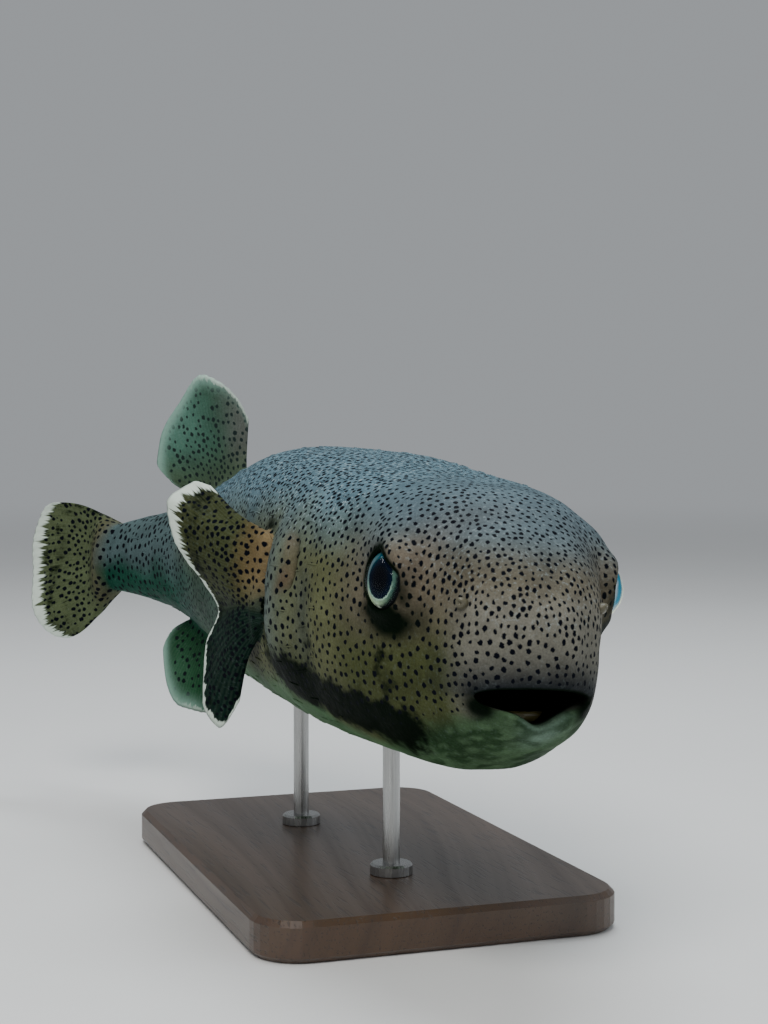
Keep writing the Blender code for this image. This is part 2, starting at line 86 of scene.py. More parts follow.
# step outwards from the throat, depth behind the lips, half width, rise and drop
MOUTH = (
    (0.0, 0.045, 0.020, 0.0040, 0.0100),
    (1.0, 0.036, 0.034, 0.0120, 0.0170),
    (2.0, 0.016, 0.039, 0.0165, 0.0215),
    (3.0, 0.005, 0.041, 0.0095, 0.0190),
    (4.0, 0.000, 0.0425, 0.0075, 0.0200),
)
LIP_NOTCH, LIP_NOTCH_WIDTH, LIP_NOTCH_SHARE = 0.004, 0.0135, 0.44  # the lower lip's dip
LIP_ROUND = 0.0045
LIP_BLUNT = 0.006
LIP_ROLL = 0.0020
LIP_ROLL_AWAY, LIP_ROLL_SPREAD = 0.008, 0.006

EYE_CENTRE = (0.0790, 0.0985, 0.0225)
EYE_OUT, EYE_UP = 76.0, 3.0
RIM_HEIGHT, RIM_REACH, RIM_BLEND = 0.0060, 0.030, 0.012
BROW = (0.084, 0.098, 0.052)
BROW_HEIGHT, BROW_REACH = 0.0085, 0.024
CHIN_SIDE = (0.052, 0.030, -0.078)  # the left of the chin is a little fuller, as in the photo
CHIN_SIDE_HEIGHT, CHIN_SIDE_REACH = 0.0050, 0.036
GILL = (0.252, 0.000)
GILL_HEIGHT = 0.0090
GILL_SPREAD = (0.030, 0.052)
SLIT = (0.220, 0.026)  # the gill opening
SLIT_DEPTH = 0.0060
SLIT_SPREAD = (0.0045, 0.018)
GILL_VALLEY = (0.200, -0.020)  # between the cheek and the swelling
VALLEY_DEPTH, VALLEY_SPREAD = 0.0026, (0.016, 0.055)
FIN_GROOVE = (0.288, 0.002)  # between the swelling and the root of the fin
GROOVE_DEPTH, GROOVE_SPREAD = 0.0052, (0.0075, 0.056)
NOSTRIL = (0.0290, 0.0130)

CAUDAL_HALF_ANGLE = 22.5
CAUDAL_APEX = 0.0930
CAUDAL_LENGTH = 0.139
CAUDAL_DROOP = 11.0
CAUDAL_CUP = 0.010
CAUDAL_ROUND = 0.13  # how much the fin's upper and lower edges bulge
# a fin's root, then its rays: place along the root, how far the tip lies back and out
DORSAL_ROOT = (0.655, 0.735)
DORSAL_RAYS = (
    (0.00, 0.002, 0.064),
    (0.12, 0.004, 0.087),
    (0.30, 0.012, 0.110),
    (0.45, 0.020, 0.119),
    (0.70, 0.031, 0.096),
    (0.88, 0.043, 0.062),
    (0.94, 0.042, 0.039),
    (0.975, 0.035, 0.031),
    (1.00, 0.023, 0.027),
)
ANAL_ROOT = (0.665, 0.735)
ANAL_RAYS = (
    (0.00, 0.002, 0.066),
    (0.25, 0.009, 0.085),
    (0.50, 0.015, 0.086),
    (0.75, 0.021, 0.068),
    (0.93, 0.023, 0.038),
    (0.97, 0.018, 0.028),
    (1.00, 0.011, 0.023),
)
MEDIAN_SWING = 15.0
MEDIAN_BOW = 0.010
MEDIAN_BURIED = 0.020  # how far the dorsal and anal fins reach into the body
PECTORAL_ROOT = (0.300, 0.312, 0.048, -0.044)  # its top and bottom, back and up
PECTORAL_BURIED = 0.16  # share of each ray inside the body
PECTORAL_FLARE = 24.0
# place along the root, reach, rise and turn outwards of each ray
RIGHT_PECTORAL_RAYS = (
    (0.00, 0.094, 0.034, 19.0),
    (0.10, 0.112, 0.045, 21.0),
    (0.21, 0.118, 0.038, 31.0),
    (0.36, 0.108, 0.021, 32.0),
    (0.50, 0.096, 0.014, 28.0),
    (0.60, 0.083, 0.005, 20.0),
    (0.68, 0.080, -0.012, 9.0),
    (0.76, 0.090, -0.036, 13.0),
    (0.86, 0.090, -0.074, 14.0),
    (0.94, 0.074, -0.088, 9.0),
    (1.00, 0.044, -0.056, 4.0),
)
LEFT_PECTORAL_RAYS = (
    (0.00, 0.098, 0.046, 24.0),
    (0.12, 0.114, 0.040, 27.0),
    (0.30, 0.112, 0.020, 31.0),
    (0.50, 0.103, -0.004, 32.0),
    (0.70, 0.095, -0.032, 30.0),
    (0.88, 0.080, -0.056, 24.0),
    (1.00, 0.048, -0.050, 16.0),
)

# ---------------------------------------------------------------- skin, in metres and counts
SKIN_DEPTH = 0.0006  # how far the skin lies inside the solids, for the spines
AROUND = 200  # points in each ring of the body
SEAM_GAP = 0.00003  # a point farther than this from all that were laid out is new at a seam
SPOT_TRIES, SPOT_GAP = 180000, 0.86  # random places tried, least share of the spacing kept
SPINE_TRIES, SPINE_GAP = 16000, 0.8
MOUTH_RINGS, MUZZLE_RINGS, HEAD_RINGS, BODY_RINGS, CAUDAL_RINGS = 12, 44, 58, 122, 56
HEAD_FROM, HEAD_TO = 0.06, 0.272  # fractions of the total length with close rings
FIN_MARGIN = 0.0006  # thickness at the free edge
CAUDAL_RAY_HEIGHT, RAY_HEIGHT = 0.0007, 0.0006
MEDIAN_ROOT_THICK, MEDIAN_FILLET = 0.0072, 0.006
PECTORAL_ROOT_THICK, PECTORAL_FILLET = 0.0056, 0.005
CAUDAL_FLUTTER, FLUTTER = 0.0022, 0.0016  # share of the total length by which fins ripple
SCALLOP = 0.003  # share of a ray by which the free edge waves between rays
CAUDAL_RAY_COUNT, MEDIAN_RAY_COUNT, PECTORAL_RAY_COUNT = 9, 15, 23

# the kinds of surface: 0 is the body, and the fins are
CAUDAL, DORSAL_FIN, ANAL_FIN, RIGHT_PECTORAL, LEFT_PECTORAL = range(1, 6)
RAY_COUNTS = np.array([0, 2 * CAUDAL_RAY_COUNT, MEDIAN_RAY_COUNT, MEDIAN_RAY_COUNT,
                       PECTORAL_RAY_COUNT, PECTORAL_RAY_COUNT])

SIDES = ((-1, "right"), (1, "left"))

# the eye, in its own frame: distances from the eye's axis and along it from the eye's centre
IRIS_RADIUS = 0.0110
IRIS_PLANE = 0.0068
IRIS_FORWARD = 0.0016
PUPIL_RADIUS = 0.0082
PUPIL_SHIFT = (0.0004, 0.0003)  # forwards and up
CORNEA_CURVE, CORNEA_EDGE = 0.0130, 0.0110  # radius of its sphere and of its foot
LID_EDGE, LID_CREST, LID_PIT = 0.0115, 0.0002, 0.0032  # radius of the opening, height, depth
LID_FRONT_DROP = 0.0011  # how much lower the lid is in front of the eye
FOLD_TURN, FOLD_SPREAD = 54.0, 46.0  # degrees from forwards to the fold of the brow
FOLD_AT, FOLD_HEIGHT = 0.0080, 0.0026  # distance of its straight edge from the eye's axis
LID_REACH = 0.0205  # where the lid has blended into the head

# colours, linear
# partly the back's own grey, partly the blue of light from above, painted in
BACK = (0.082, 0.142, 0.174)
FOREHEAD = (0.078, 0.106, 0.120)
FACE = (0.098, 0.086, 0.060)
# partly the lower cheek's own olive, partly painted shade under light from above
CHEEK = (0.046, 0.053, 0.021)
FLANK = (0.092, 0.098, 0.048)
# partly the lower rear's own teal, partly painted shade
REAR = (0.040, 0.070, 0.052)
SNOUT = (0.158, 0.152, 0.126)
PINK = (0.090, 0.120, 0.118)
# painted shade: darker tone in the crease between cheek and gill swelling
VALLEY = (0.062, 0.072, 0.055)
# the pale belly, painted darker and greener as shade, with light along its lowest outline
BELLY = (0.072, 0.140, 0.070)
# the chin's own green, darkened as painted shade on the underside
CHIN = (0.018, 0.040, 0.017)
CHIN_PALE = (0.060, 0.104, 0.054)
LIP = (0.008, 0.011, 0.015)
POUT = (0.135, 0.205, 0.158)
GILL_RED = (0.130, 0.066, 0.042)
GILL_LOW = (0.014, 0.030, 0.013)
# warm tone before the eye; on the lit right side mostly a painted highlight
EYE_FRONT_AND_HIGHLIGHT = (0.150, 0.108, 0.072)
# near black: the dark band's own colour, also used for the painted shade
DUSKY_AND_SHADE = (0.0006, 0.0036, 0.0010)
# painted shade: black inside the mouth
MOUTH_SHADE_BLACK = (0.002, 0.003, 0.003)
SPOT = (0.002, 0.003, 0.006)
# painted highlights: pale glints speckled over the back and upper face
GLINT = (0.340, 0.420, 0.440)
STALK = (0.062, 0.096, 0.098)
# painted shade: dark teal under the tail stalk
STALK_UNDER_SHADE = (0.007, 0.054, 0.034)
FIN = (0.068, 0.086, 0.041)
FIN_BASE = (0.074, 0.064, 0.036)
DORSAL = (0.022, 0.064, 0.040)
DORSAL_FRONT = (0.074, 0.074, 0.066)
DORSAL_REAR = (0.095, 0.220, 0.175)
ANAL = (0.006, 0.042, 0.015)
ANAL_REAR = (0.060, 0.140, 0.085)
PECTORAL = (0.036, 0.042, 0.017)
PECTORAL_BASE = (0.160, 0.104, 0.046)
# painted shade: near black on the lower part of the pectoral fins
PECTORAL_LOW_SHADE = (0.0008, 0.0110, 0.0080)
MARGIN = (0.560, 0.640, 0.560)
MEDIAN_MARGIN = (0.240, 0.400, 0.330)

# ---------------------------------------------------------------- studio and camera
ROOM, ROOM_LIGHT = (0.80, 0.84, 0.88), 0.42
FLOOR_HALF, FLOOR_DROP = 60.0, 0.0002
LIT_POINT = (0, 0, 0.15)
# name, place, width, watts and colour
LIGHTS = (
    ("key", (-0.8, -1.1, 1.6), 0.9, 26.0, (1.0, 0.98, 0.95)),
    ("fill", (1.4, -0.9, 0.9), 1.2, 6.0, (0.90, 0.95, 1.0)),
    ("top", (0.2, 0.3, 1.8), 1.0, 22.0, (0.90, 0.96, 1.0)),
)

CAMERA_AT = (-0.2751, -0.8280, 0.2135)
CAMERA_AZIMUTH, CAMERA_ELEVATION = -19.33, 1.92
CAMERA_LENS = 61.5


# ---------------------------------------------------------------- curves
def curve(rows, column, at):
    """A smooth curve through one column of a table, with no overshoot between its rows."""
    x = np.array([row[0] for row in rows])
    y = np.array([row[column] for row in rows])
    step = np.diff(x)
    slope = np.diff(y) / step
    left, right = slope[:-1], slope[1:]
    same_way = left * right > 0
    w1, w2 = 2 * step[1:] + step[:-1], step[1:] + 2 * step[:-1]
    mean = (w1 + w2) / (w1 / np.where(same_way, left, 1.0) + w2 / np.where(same_way, right, 1.0))
    tangent = np.concatenate([slope[:1], np.where(same_way, mean, 0.0), slope[-1:]])
    at = np.clip(np.asarray(at, float), x[0], x[-1])
    i = np.clip(np.searchsorted(x, at, side="right") - 1, 0, len(step) - 1)
    t = (at - x[i]) / step[i]
    value = y[i] * (1 + 2 * t) * (1 - t) ** 2 + y[i + 1] * t * t * (3 - 2 * t)
    return value + step[i] * t * (1 - t) * (tangent[i] * (1 - t) - tangent[i + 1] * t)


def ease(value):
    value = np.clip(value, 0.0, 1.0)
    return value * value * (3 - 2 * value)


def bell(value, power=2):
    return np.exp(-np.abs(value) ** power)


def length_of(vectors):
    return np.linalg.norm(vectors, axis=-1)


def unit(vectors):
    return vectors / np.maximum(length_of(vectors), 1e-12)[..., None]


def ripple(points, scale, seed=0.0):
    """Smooth noise from -1 to 1 at each point, with features about scale across."""
    shift = Vector((seed, seed * 1.7, -seed))
    flat = np.asarray(points, float).reshape(-1, 3) / scale
    values = [noise.noise(Vector(point) + shift) for point in flat]
    return np.array(values).reshape(np.shape(points)[:-1])


# ---------------------------------------------------------------- body surface
def section(fraction):
    """Half width, middle and half height of the body there."""
    top, bottom = curve(SECTIONS, 2, fraction), curve(SECTIONS, 3, fraction)
    return curve(SECTIONS, 1, fraction), (top + bottom) / 2, (top - bottom) / 2


def power_of(fraction, up):
    """How square the section is; up runs from -1 at the belly to 1 at the back."""
    trunk = BELLY_POWER + (BACK_POWER - BELLY_POWER) * ease((up + 0.35) / 0.7)
    return trunk + (STALK_POWER - trunk) * ease((fraction - 0.5) / 0.25)


def taper_of(fraction, up):
    """Share of the half width that the jaw keeps there."""
    below = np.clip(0.1 - up, 0, 1.1)
    return 1 - JAW_TAPER * below * (1 - ease((fraction - 0.12) / 0.16))


def lateral_at(fraction, z):
    """How far out the body's side lies at a height."""
    width, middle, height = section(fraction)
    up = np.clip((z - middle) / height, -1, 1)
    power = power_of(fraction, up)
    return width * taper_of(fraction, up) * (1 - np.abs(up) ** power) ** (1 / power)


def front_fraction(x, z):
    """How far back the front of the head lies, found by halving."""
    low, high = np.zeros_like(x), np.full_like(x, 0.12)
    for _ in range(34):  # halvings
        at = (low + high) / 2
        _, middle, height = section(at)
        outside = (np.abs(z - middle) > height) | (np.abs(x) > lateral_at(at, z))
        low, high = np.where(outside, at, low), np.where(outside, high, at)
    width, middle, height = section(np.zeros_like(x))
    inside = np.hypot(x / width, (z - middle) / height)
    return low - LIP_BLUNT * np.clip(1 - inside**2, 0, None)


def ring_angles():
    return np.arange(AROUND) * 2 * math.pi / AROUND


def ring_of(fraction):
    """One ring of points round the body."""
    angle = ring_angles()
    at = np.full(AROUND, fraction)
    width, middle, height = section(at)
    c, s = np.cos(angle), np.sin(angle)
    up = s
    for _ in range(12):  # until the power settles
        power = power_of(at, up)
        wide = width * taper_of(at, up)
        reach = (np.abs(c / wide) ** power + np.abs(s / height) ** power) ** (-1 / power)
        up = reach * s / height
    return np.stack([reach * c, at, middle + reach * s], -1)


def mouth_ring(half_width, rise, drop):
    """One ring round the mouth, with the lower lip's notch."""
    angle = ring_angles()
    c, s = np.cos(angle), np.sin(angle)
    notch = bell((c * half_width - LIP_NOTCH) / LIP_NOTCH_WIDTH)
    lower = drop * s * (1 - LIP_NOTCH_SHARE + LIP_NOTCH_SHARE * notch)
    z = MOUTH_CORNER_Z + np.where(s > 0, rise * s, lower)
    return np.stack([half_width * c, np.zeros(AROUND), z], -1)


def muzzle_rings(first_section):
    """Rings of the mouth's inside, the lips and the front of the head, and how far each point
    lies outside the mouth's edge (below zero inside it)."""
    steps = np.linspace(0.0, 4.0, MOUTH_RINGS)
    outline = mouth_ring(*(float(curve(MOUTH, column, 4.0)) for column in (2, 3, 4)))
    outer = ring_of(first_section)
    lip_back = front_fraction(outline[:, 0], outline[:, 2]) + LIP_ROUND
    rings, aways = [], []
    for step in steps[:-1]:
        depth, *form = (float(curve(MOUTH, column, step)) for column in (1, 2, 3, 4))
        ring = mouth_ring(*form)
        ring[:, 1] = lip_back + depth
        rings.append(ring)
        aways.append(np.full(AROUND, -depth))
    for share in np.linspace(0.0, 1.0, MUZZLE_RINGS)[:-1] ** 1.6:
        ring = outline + (outer - outline) * share
        away = np.hypot(ring[:, 0] - outline[:, 0], ring[:, 2] - outline[:, 2])
        edge = np.clip(LIP_ROUND - away, 0, None)
        rounding = LIP_ROUND - np.sqrt(np.clip(LIP_ROUND**2 - edge**2, 0, None))
        roll = LIP_ROLL * bell((away - LIP_ROLL_AWAY) / LIP_ROLL_SPREAD)
        ring[:, 1] = front_fraction(ring[:, 0], ring[:, 2]) + rounding - roll
        rings.append(ring)
        aways.append(away)
    return rings, aways


def eye_axis(side):
    out, up = math.radians(EYE_OUT), math.radians(EYE_UP)
    flat = math.cos(up)
    return np.array([side * math.sin(out) * flat, -math.cos(out) * flat, math.sin(up)])


def eye_frame(side):
    """Unit vectors forwards, up and outwards from the eye, in local coordinates."""
    out = eye_axis(side)
    forward = np.cross(out, (0, 0, 1)) * side
    forward /= np.linalg.norm(forward)
    forward *= -np.sign(forward[1])
    up = np.cross(forward, out)
    return forward, up * np.sign(up[2]), out


def in_eye(points, side):
    """Metres forwards, up and outwards of the eye's centre."""
    offset = (points - np.array(EYE_CENTRE) * (side, 1, 1)) * TOTAL_LENGTH
    return np.stack([offset @ axis for axis in eye_frame(side)], -1) - [IRIS_FORWARD, 0, 0]


def beyond_fold(place):
    """Metres past the straight edge of the brow's fold, for places in the eye's frame."""
    turn = math.radians(FOLD_TURN)
    return place[..., 0] * math.cos(turn) + place[..., 1] * math.sin(turn) - FOLD_AT


def swellings(grid):
    """How far the skin stands out round eyes, brows and gills, and sinks in grooves."""
    rise = CHIN_SIDE_HEIGHT * bell(length_of(grid - np.array(CHIN_SIDE)) / CHIN_SIDE_REACH)
    for side in (-1, 1):
        offset = grid - np.array(EYE_CENTRE) * (side, 1, 1)
        along = offset @ eye_axis(side)
        radial = length_of(offset - along[..., None] * eye_axis(side))
        rise += RIM_HEIGHT * bell(radial / RIM_REACH, 3) * ease(along / RIM_BLEND)
        over = length_of(grid - np.array(BROW) * (side, 1, 1))
        rise += BROW_HEIGHT * bell(over / BROW_REACH)
        beside = side * grid[..., 0] > 0
        back, up = grid[..., 1] - GILL[0], grid[..., 2] - GILL[1]
        rise += GILL_HEIGHT * bell(back / GILL_SPREAD[0]) * bell(up / GILL_SPREAD[1], 4) * beside
        rise -= SLIT_DEPTH * bell(slit_distance(grid) / SLIT_SPREAD[0]) * beside
        for place, depth, spread in ((GILL_VALLEY, VALLEY_DEPTH, VALLEY_SPREAD),
                                     (FIN_GROOVE, GROOVE_DEPTH, GROOVE_SPREAD)):
            back, up = grid[..., 1] - place[0], grid[..., 2] - place[1]
            rise -= depth * bell(back / spread[0]) * bell(up / spread[1], 4) * beside
    return rise


def slit_distance(grid):
    """Distance from the curved gill opening, which bows forwards."""
    up = grid[..., 2] - SLIT[1]
    bow = 0.005 * (up / SLIT_SPREAD[1]) ** 2
    beyond = np.clip(np.abs(up) - SLIT_SPREAD[1], 0, None)
    return np.hypot(grid[..., 1] - SLIT[0] - bow, beyond)


def shape_lids(grid):
    """Brings the skin round each eye to a round lid, with a fold that hangs over its front top."""
    for side in (-1, 1):
        out = eye_frame(side)[2]
        place = in_eye(grid, side)
        away = np.hypot(place[..., 0], place[..., 1])
        turn = np.degrees(np.arctan2(place[..., 1], place[..., 0])) - FOLD_TURN
        fold = bell(((turn + 180) % 360 - 180) / FOLD_SPREAD)
        wall = np.maximum(ease((away - LID_EDGE + 0.0005) / 0.0013),
                          ease((beyond_fold(place) + 0.0006) / 0.0013))
        ahead = ease(place[..., 0] / np.maximum(away, 0.001))
        crest = IRIS_PLANE + LID_CREST + FOLD_HEIGHT * fold - LID_FRONT_DROP * ahead
        crest = crest - 0.35 * np.clip(away - 0.0130, 0, None)
        pit = IRIS_PLANE - LID_PIT
        share = ease((LID_REACH - away) / (LID_REACH - 0.0128)) * (place[..., 2] > 0)
        change = (pit + (crest - pit) * wall - place[..., 2]) * share
        grid = grid + (change / TOTAL_LENGTH)[..., None] * out
    return grid


def unposed(points):
    """The opposite of posed()."""
    p = (np.array(points, float) - [0, 0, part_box("stand_base")[1].z + AXIS_HEIGHT]) / TOTAL_LENGTH
    bank = math.radians(BANK)
    x = p[..., 0] * math.cos(bank) - p[..., 2] * math.sin(bank)
    z = p[..., 0] * math.sin(bank) + p[..., 2] * math.cos(bank)
    y = p[..., 1] + BASE_CENTRE
    turn = math.radians(TAIL_SWING)
    bent = y > TAIL_SWING_START
    angle = np.arctan2(y - TAIL_SWING_START, x + 1 / turn)
    straight_x = np.where(bent, np.hypot(y - TAIL_SWING_START, x + 1 / turn) - 1 / turn, x)
    straight_y = np.where(bent, TAIL_SWING_START + angle / turn, y)
    return np.stack([straight_x, straight_y, z], -1)


def body_grid():
    """The body's rings from the throat to the root of the tail fin, with their mouth distances."""
    head = np.linspace(HEAD_FROM, HEAD_TO, HEAD_RINGS, endpoint=False)
    rear = np.linspace(HEAD_TO, STALK_END, BODY_RINGS)
    fractions = np.concatenate([head, rear])
    rings, aways = muzzle_rings(fractions[0])
    grid = np.array(rings + [ring_of(fraction) for fraction in fractions])
    aways = np.array(aways + [np.full(AROUND, 1.0)] * len(fractions))
    normal = normals_of(grid)
    outside = ease(aways / 0.01)
    metres = grid * TOTAL_LENGTH
    worn = ripple(metres, 0.016) * 0.0005 + ripple(metres, 0.006) * 0.00018
    depth = (worn - SKIN_DEPTH) * outside / TOTAL_LENGTH
    return grid + normal * (swellings(grid) + depth)[..., None], aways


def normals_of(grid):
    along = np.gradient(grid, axis=0)
    across = np.roll(grid, -1, axis=1) - np.roll(grid, 1, axis=1)
    return unit(np.cross(along, across))


# ---------------------------------------------------------------- fins
def ray_relief(place, out, count):
    """Height from 0 to 1 of the fin rays, which fork half way out."""
    single = 0.5 + 0.5 * np.cos(2 * math.pi * count * place)
    forked = 0.5 + 0.5 * np.cos(4 * math.pi * count * place)
    return single + (forked - single) * ease((out - 0.35) / 0.3)


def caudal_middle(across, out):
    """Middle surface of the tail fin; across runs from -1 at its top to 1, out from 0 to 1."""
    angle = np.radians(CAUDAL_HALF_ANGLE) * across * (1 + 0.055 * across)
    wave = 1 + SCALLOP * np.cos(2 * math.pi * CAUDAL_RAY_COUNT * across) * out
    rim = CAUDAL_LENGTH * (1 - 0.01 * across - 0.06 * across**2 - 0.14 * np.abs(across) ** 9)
    root = CAUDAL_APEX / np.cos(angle)
    rim = rim * (1 + 0.045 * bell((across + 0.45) / 0.38))
    radius = root + (CAUDAL_APEX + rim * wave - root) * out
    back = radius * np.cos(angle) - CAUDAL_APEX
    up = -radius * np.sin(angle) * (1 + CAUDAL_ROUND * np.sin(math.pi * out) * across**2)
    droop = np.radians(CAUDAL_DROOP)
    fraction = STALK_END + back * math.cos(droop) + up * math.sin(droop) * out
    _, middle, _ = section(np.array(STALK_END))
    height = middle + up * (1 - (1 - math.cos(droop)) * out) - back * math.sin(droop)
    cup = -CAUDAL_CUP * np.sin(math.pi * across) * out**1.5
    flutter = CAUDAL_FLUTTER * np.sin(across * 7.0 + 1.0) * out**2
    return np.stack([cup + flutter, fraction, height], -1)


def caudal_rings(last_ring):
    """Rings that carry the body's last ring on to the free edge of the tail fin."""
    angle = ring_angles()
    side = np.sign(np.cos(angle))
    turn = np.arcsin(np.clip(np.sin(angle), -1, 1)) / (math.pi / 2)
    width = 2 * float(section(np.array(STALK_END))[0]) * TOTAL_LENGTH
    rings, fins = [], []
    for out in np.linspace(0.0, 1.0, CAUDAL_RINGS + 1)[1:]:
        spread = ease(out * 2.5)
        across = -((1 - spread) * np.sin(angle) + spread * turn)
        lens = (1 - np.abs(across) ** (2.2 + 5 * spread)) ** (1 / (2.2 + 5 * spread))
        relief = ray_relief(across / 2, np.full(AROUND, out), CAUDAL_RAY_COUNT)
        thick = FIN_MARGIN + (width - FIN_MARGIN) * (1 - out) ** 3.0
        thick = (thick + CAUDAL_RAY_HEIGHT * relief * ease(out * 4)) * lens
        thick = thick * (1 - ease((out - 0.975) / 0.025))
        middle = caudal_middle(across, np.full(AROUND, out))
        ring = middle + np.stack([side * thick / 2, 0 * thick, 0 * thick], -1) / TOTAL_LENGTH
        keep = ease(1 - out / 0.35)
        offset = last_ring - caudal_middle(-np.sin(angle), np.zeros(AROUND))
        rings.append(ring + offset * keep)
        to_margin = (1 - out) * CAUDAL_LENGTH * TOTAL_LENGTH
        along = CAUDAL_LENGTH * TOTAL_LENGTH * out
        fins.append(fin_rows(CAUDAL, across / 2 + 0.5, out, to_margin, along))
    return rings, fins


def fin_rows(kind, place, out, to_margin, along):
    """One row for each point: which fin, place along its root, share and metres of the ray."""
    return np.stack(np.broadcast_arrays(float(kind), place, out, to_margin, along), -1)


def median_fin(kind, rays, root, upward, rows, columns):
    """The dorsal or the anal fin."""
    place = np.linspace(0, 1, columns)[None, :]
    fraction = root[0] + (root[1] - root[0]) * place
    _, middle, height = section(fraction)
    back, rise = curve(rays, 1, place), curve(rays, 2, place)
    rise = rise * (1 + SCALLOP * np.cos(2 * math.pi * MEDIAN_RAY_COUNT * place))
    buried = MEDIAN_BURIED / rise
    travel = np.linspace(0, 1, rows)[:, None] * (1 + buried) - buried
    out = np.clip(travel, 0, 1)
    y = fraction + back * np.sign(travel) * np.abs(travel) ** 1.15
    z = middle + upward * (height + rise * travel)
    swing = np.tan(np.radians(MEDIAN_SWING)) * (y - root[0]) * ease(travel / 0.7)
    bow = MEDIAN_BOW * np.sin(math.pi * place) * out
    flutter = FLUTTER * np.sin(place * 9.0 + upward) * out**2
    points = np.stack([flutter - swing - bow, y, z], -1)
    relief = ray_relief(place, out, MEDIAN_RAY_COUNT)
    return fin_shell(kind, points, travel, rise, place, MEDIAN_ROOT_THICK, MEDIAN_FILLET, relief)


def pectoral_fin(kind, rays, side, rows, columns):
    """The fin on one side of the body."""
    place = np.linspace(0, 1, columns)[None, :]
    travel = np.linspace(-PECTORAL_BURIED, 1, rows)[:, None]
    out = np.clip(travel, 0, 1)
    top_s, bottom_s, top_z, bottom_z = PECTORAL_ROOT
    fraction = top_s + (bottom_s - top_s) * place
    height = top_z + (bottom_z - top_z) * place
    reach, rise = curve(rays, 1, place), curve(rays, 2, place)
    reach = reach * (1 + SCALLOP * np.cos(2 * math.pi * PECTORAL_RAY_COUNT * place))
    turn = np.radians(curve(rays, 3, place) + PECTORAL_FLARE * (1 - out) ** 2)
    flutter = FLUTTER * np.sin(place * 11.0) * out**2
    x = lateral_at(fraction, height) + reach * travel * np.sin(turn) + flutter
    y = fraction + reach * travel * np.cos(turn)
    z = height + rise * travel * (0.75 + 0.25 * out)
    relief = ray_relief(place, out, PECTORAL_RAY_COUNT)
    length = np.hypot(reach, rise)
    points = np.stack([side * x, y, z], -1)
    return fin_shell(kind, points, travel, length, place, PECTORAL_ROOT_THICK, PECTORAL_FILLET,
                     relief)


def fin_shell(kind, middle, travel, reach, place, root_thick, fillet, relief):
    """Both faces of a fin round its middle surface: fleshy at the root, thin at the edge."""
    out = np.clip(travel, 0, 1)
    above = travel * reach * TOTAL_LENGTH
    foot = np.clip(1 - above / fillet, 0, 1)
    flare = 2 * fillet * (1 - np.sqrt(1 - 0.98 * foot**2))
    thick = FIN_MARGIN + (root_thick - FIN_MARGIN) * (1 - out) ** 1.8
    thick = thick + RAY_HEIGHT * relief * ease(out * 5) * (1 - 0.5 * out) + flare
    lens = (1 - np.abs(2 * place - 1) ** 6) ** 0.5
    thick = thick * lens * (1 - ease((out - 0.975) / 0.025))
    normal = unit(np.cross(np.gradient(middle, axis=1), np.gradient(middle, axis=0)))
    offset = normal * (thick / 2 / TOTAL_LENGTH)[..., None]
    rows, columns = middle.shape[:2]
    local = np.concatenate([(middle + offset).reshape(-1, 3), (middle - offset).reshape(-1, 3)])
    fins = fin_rows(kind, place, out, (1 - out) * reach * TOTAL_LENGTH, above)
    fins = np.broadcast_to(fins, (rows, columns, 5)).reshape(-1, 5)
    faces = []
    for r in range(rows - 1):
        for c in range(columns - 1):
            a = r * columns + c
            quad = (a, a + 1, a + columns + 1, a + columns)
            faces.append(quad)
            faces.append(tuple(index + rows * columns for index in reversed(quad)))
    for c in range(columns - 1):
        far = rows * columns + c
        faces.append((c + 1, c, far, far + 1))
    return local, faces, np.concatenate([fins, fins])


# ---------------------------------------------------------------- pose
def posed(points):
    """Puts points of the straight fish in the model's pose, in metres."""
    p = np.array(points, float)
    turn = math.radians(TAIL_SWING)
    angle = turn * np.clip(p[..., 1] - TAIL_SWING_START, 0, None)
    x = p[..., 0] * np.cos(angle) - (1 - np.cos(angle)) / turn
    y = np.minimum(p[..., 1], TAIL_SWING_START) + np.sin(angle) / turn + p[..., 0] * np.sin(angle)
    bank = math.radians(BANK)
    banked_x = x * math.cos(bank) + p[..., 2] * math.sin(bank)
    banked_z = p[..., 2] * math.cos(bank) - x * math.sin(bank)
    world = np.stack([banked_x, y - BASE_CENTRE, banked_z], -1) * TOTAL_LENGTH
    return world + np.array([0, 0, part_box("stand_base")[1].z + AXIS_HEIGHT])


# ---------------------------------------------------------------- meshes
def placed(name, data):
    thing = bpy.data.objects.new(name, data)
    bpy.context.scene.collection.objects.link(thing)
    return thing


def new_object(name, mesh, slot=None):
    piece = placed(name, mesh)
    mesh.shade_smooth()
    if slot:
        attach(piece, "root")
    return piece


@contextlib.contextmanager
def editing(mesh):
    edit = bmesh.new()
    edit.from_mesh(mesh)
    yield edit
    edit.to_mesh(mesh)
    edit.free()


def raw_mesh(name, points, faces):
    mesh = bpy.data.meshes.new(name)
    mesh.from_pydata(np.asarray(points).tolist(), [], faces)
    return mesh


def mesh_from(name, points, faces):
    """A closed mesh with its doubled points merged and its holes filled."""
    mesh = raw_mesh(name, points, faces)
    with editing(mesh) as edit:
        bmesh.ops.remove_doubles(edit, verts=edit.verts, dist=0.00002)
        bmesh.ops.dissolve_degenerate(edit, edges=edit.edges, dist=0.00001)
        bmesh.ops.holes_fill(edit, edges=edit.edges, sides=0)
        bmesh.ops.recalc_face_normals(edit, faces=edit.faces)
    return mesh


def ring_faces(rings, sides, first=0):
    """Quads between rings of so many points each, stored one after another from first on."""
    faces = []
    for near in range(first, first + (rings - 1) * sides, sides):
        for a in range(sides):
            b = (a + 1) % sides
            faces.append((near + a, near + b, near + sides + b, near + sides + a))
    return faces


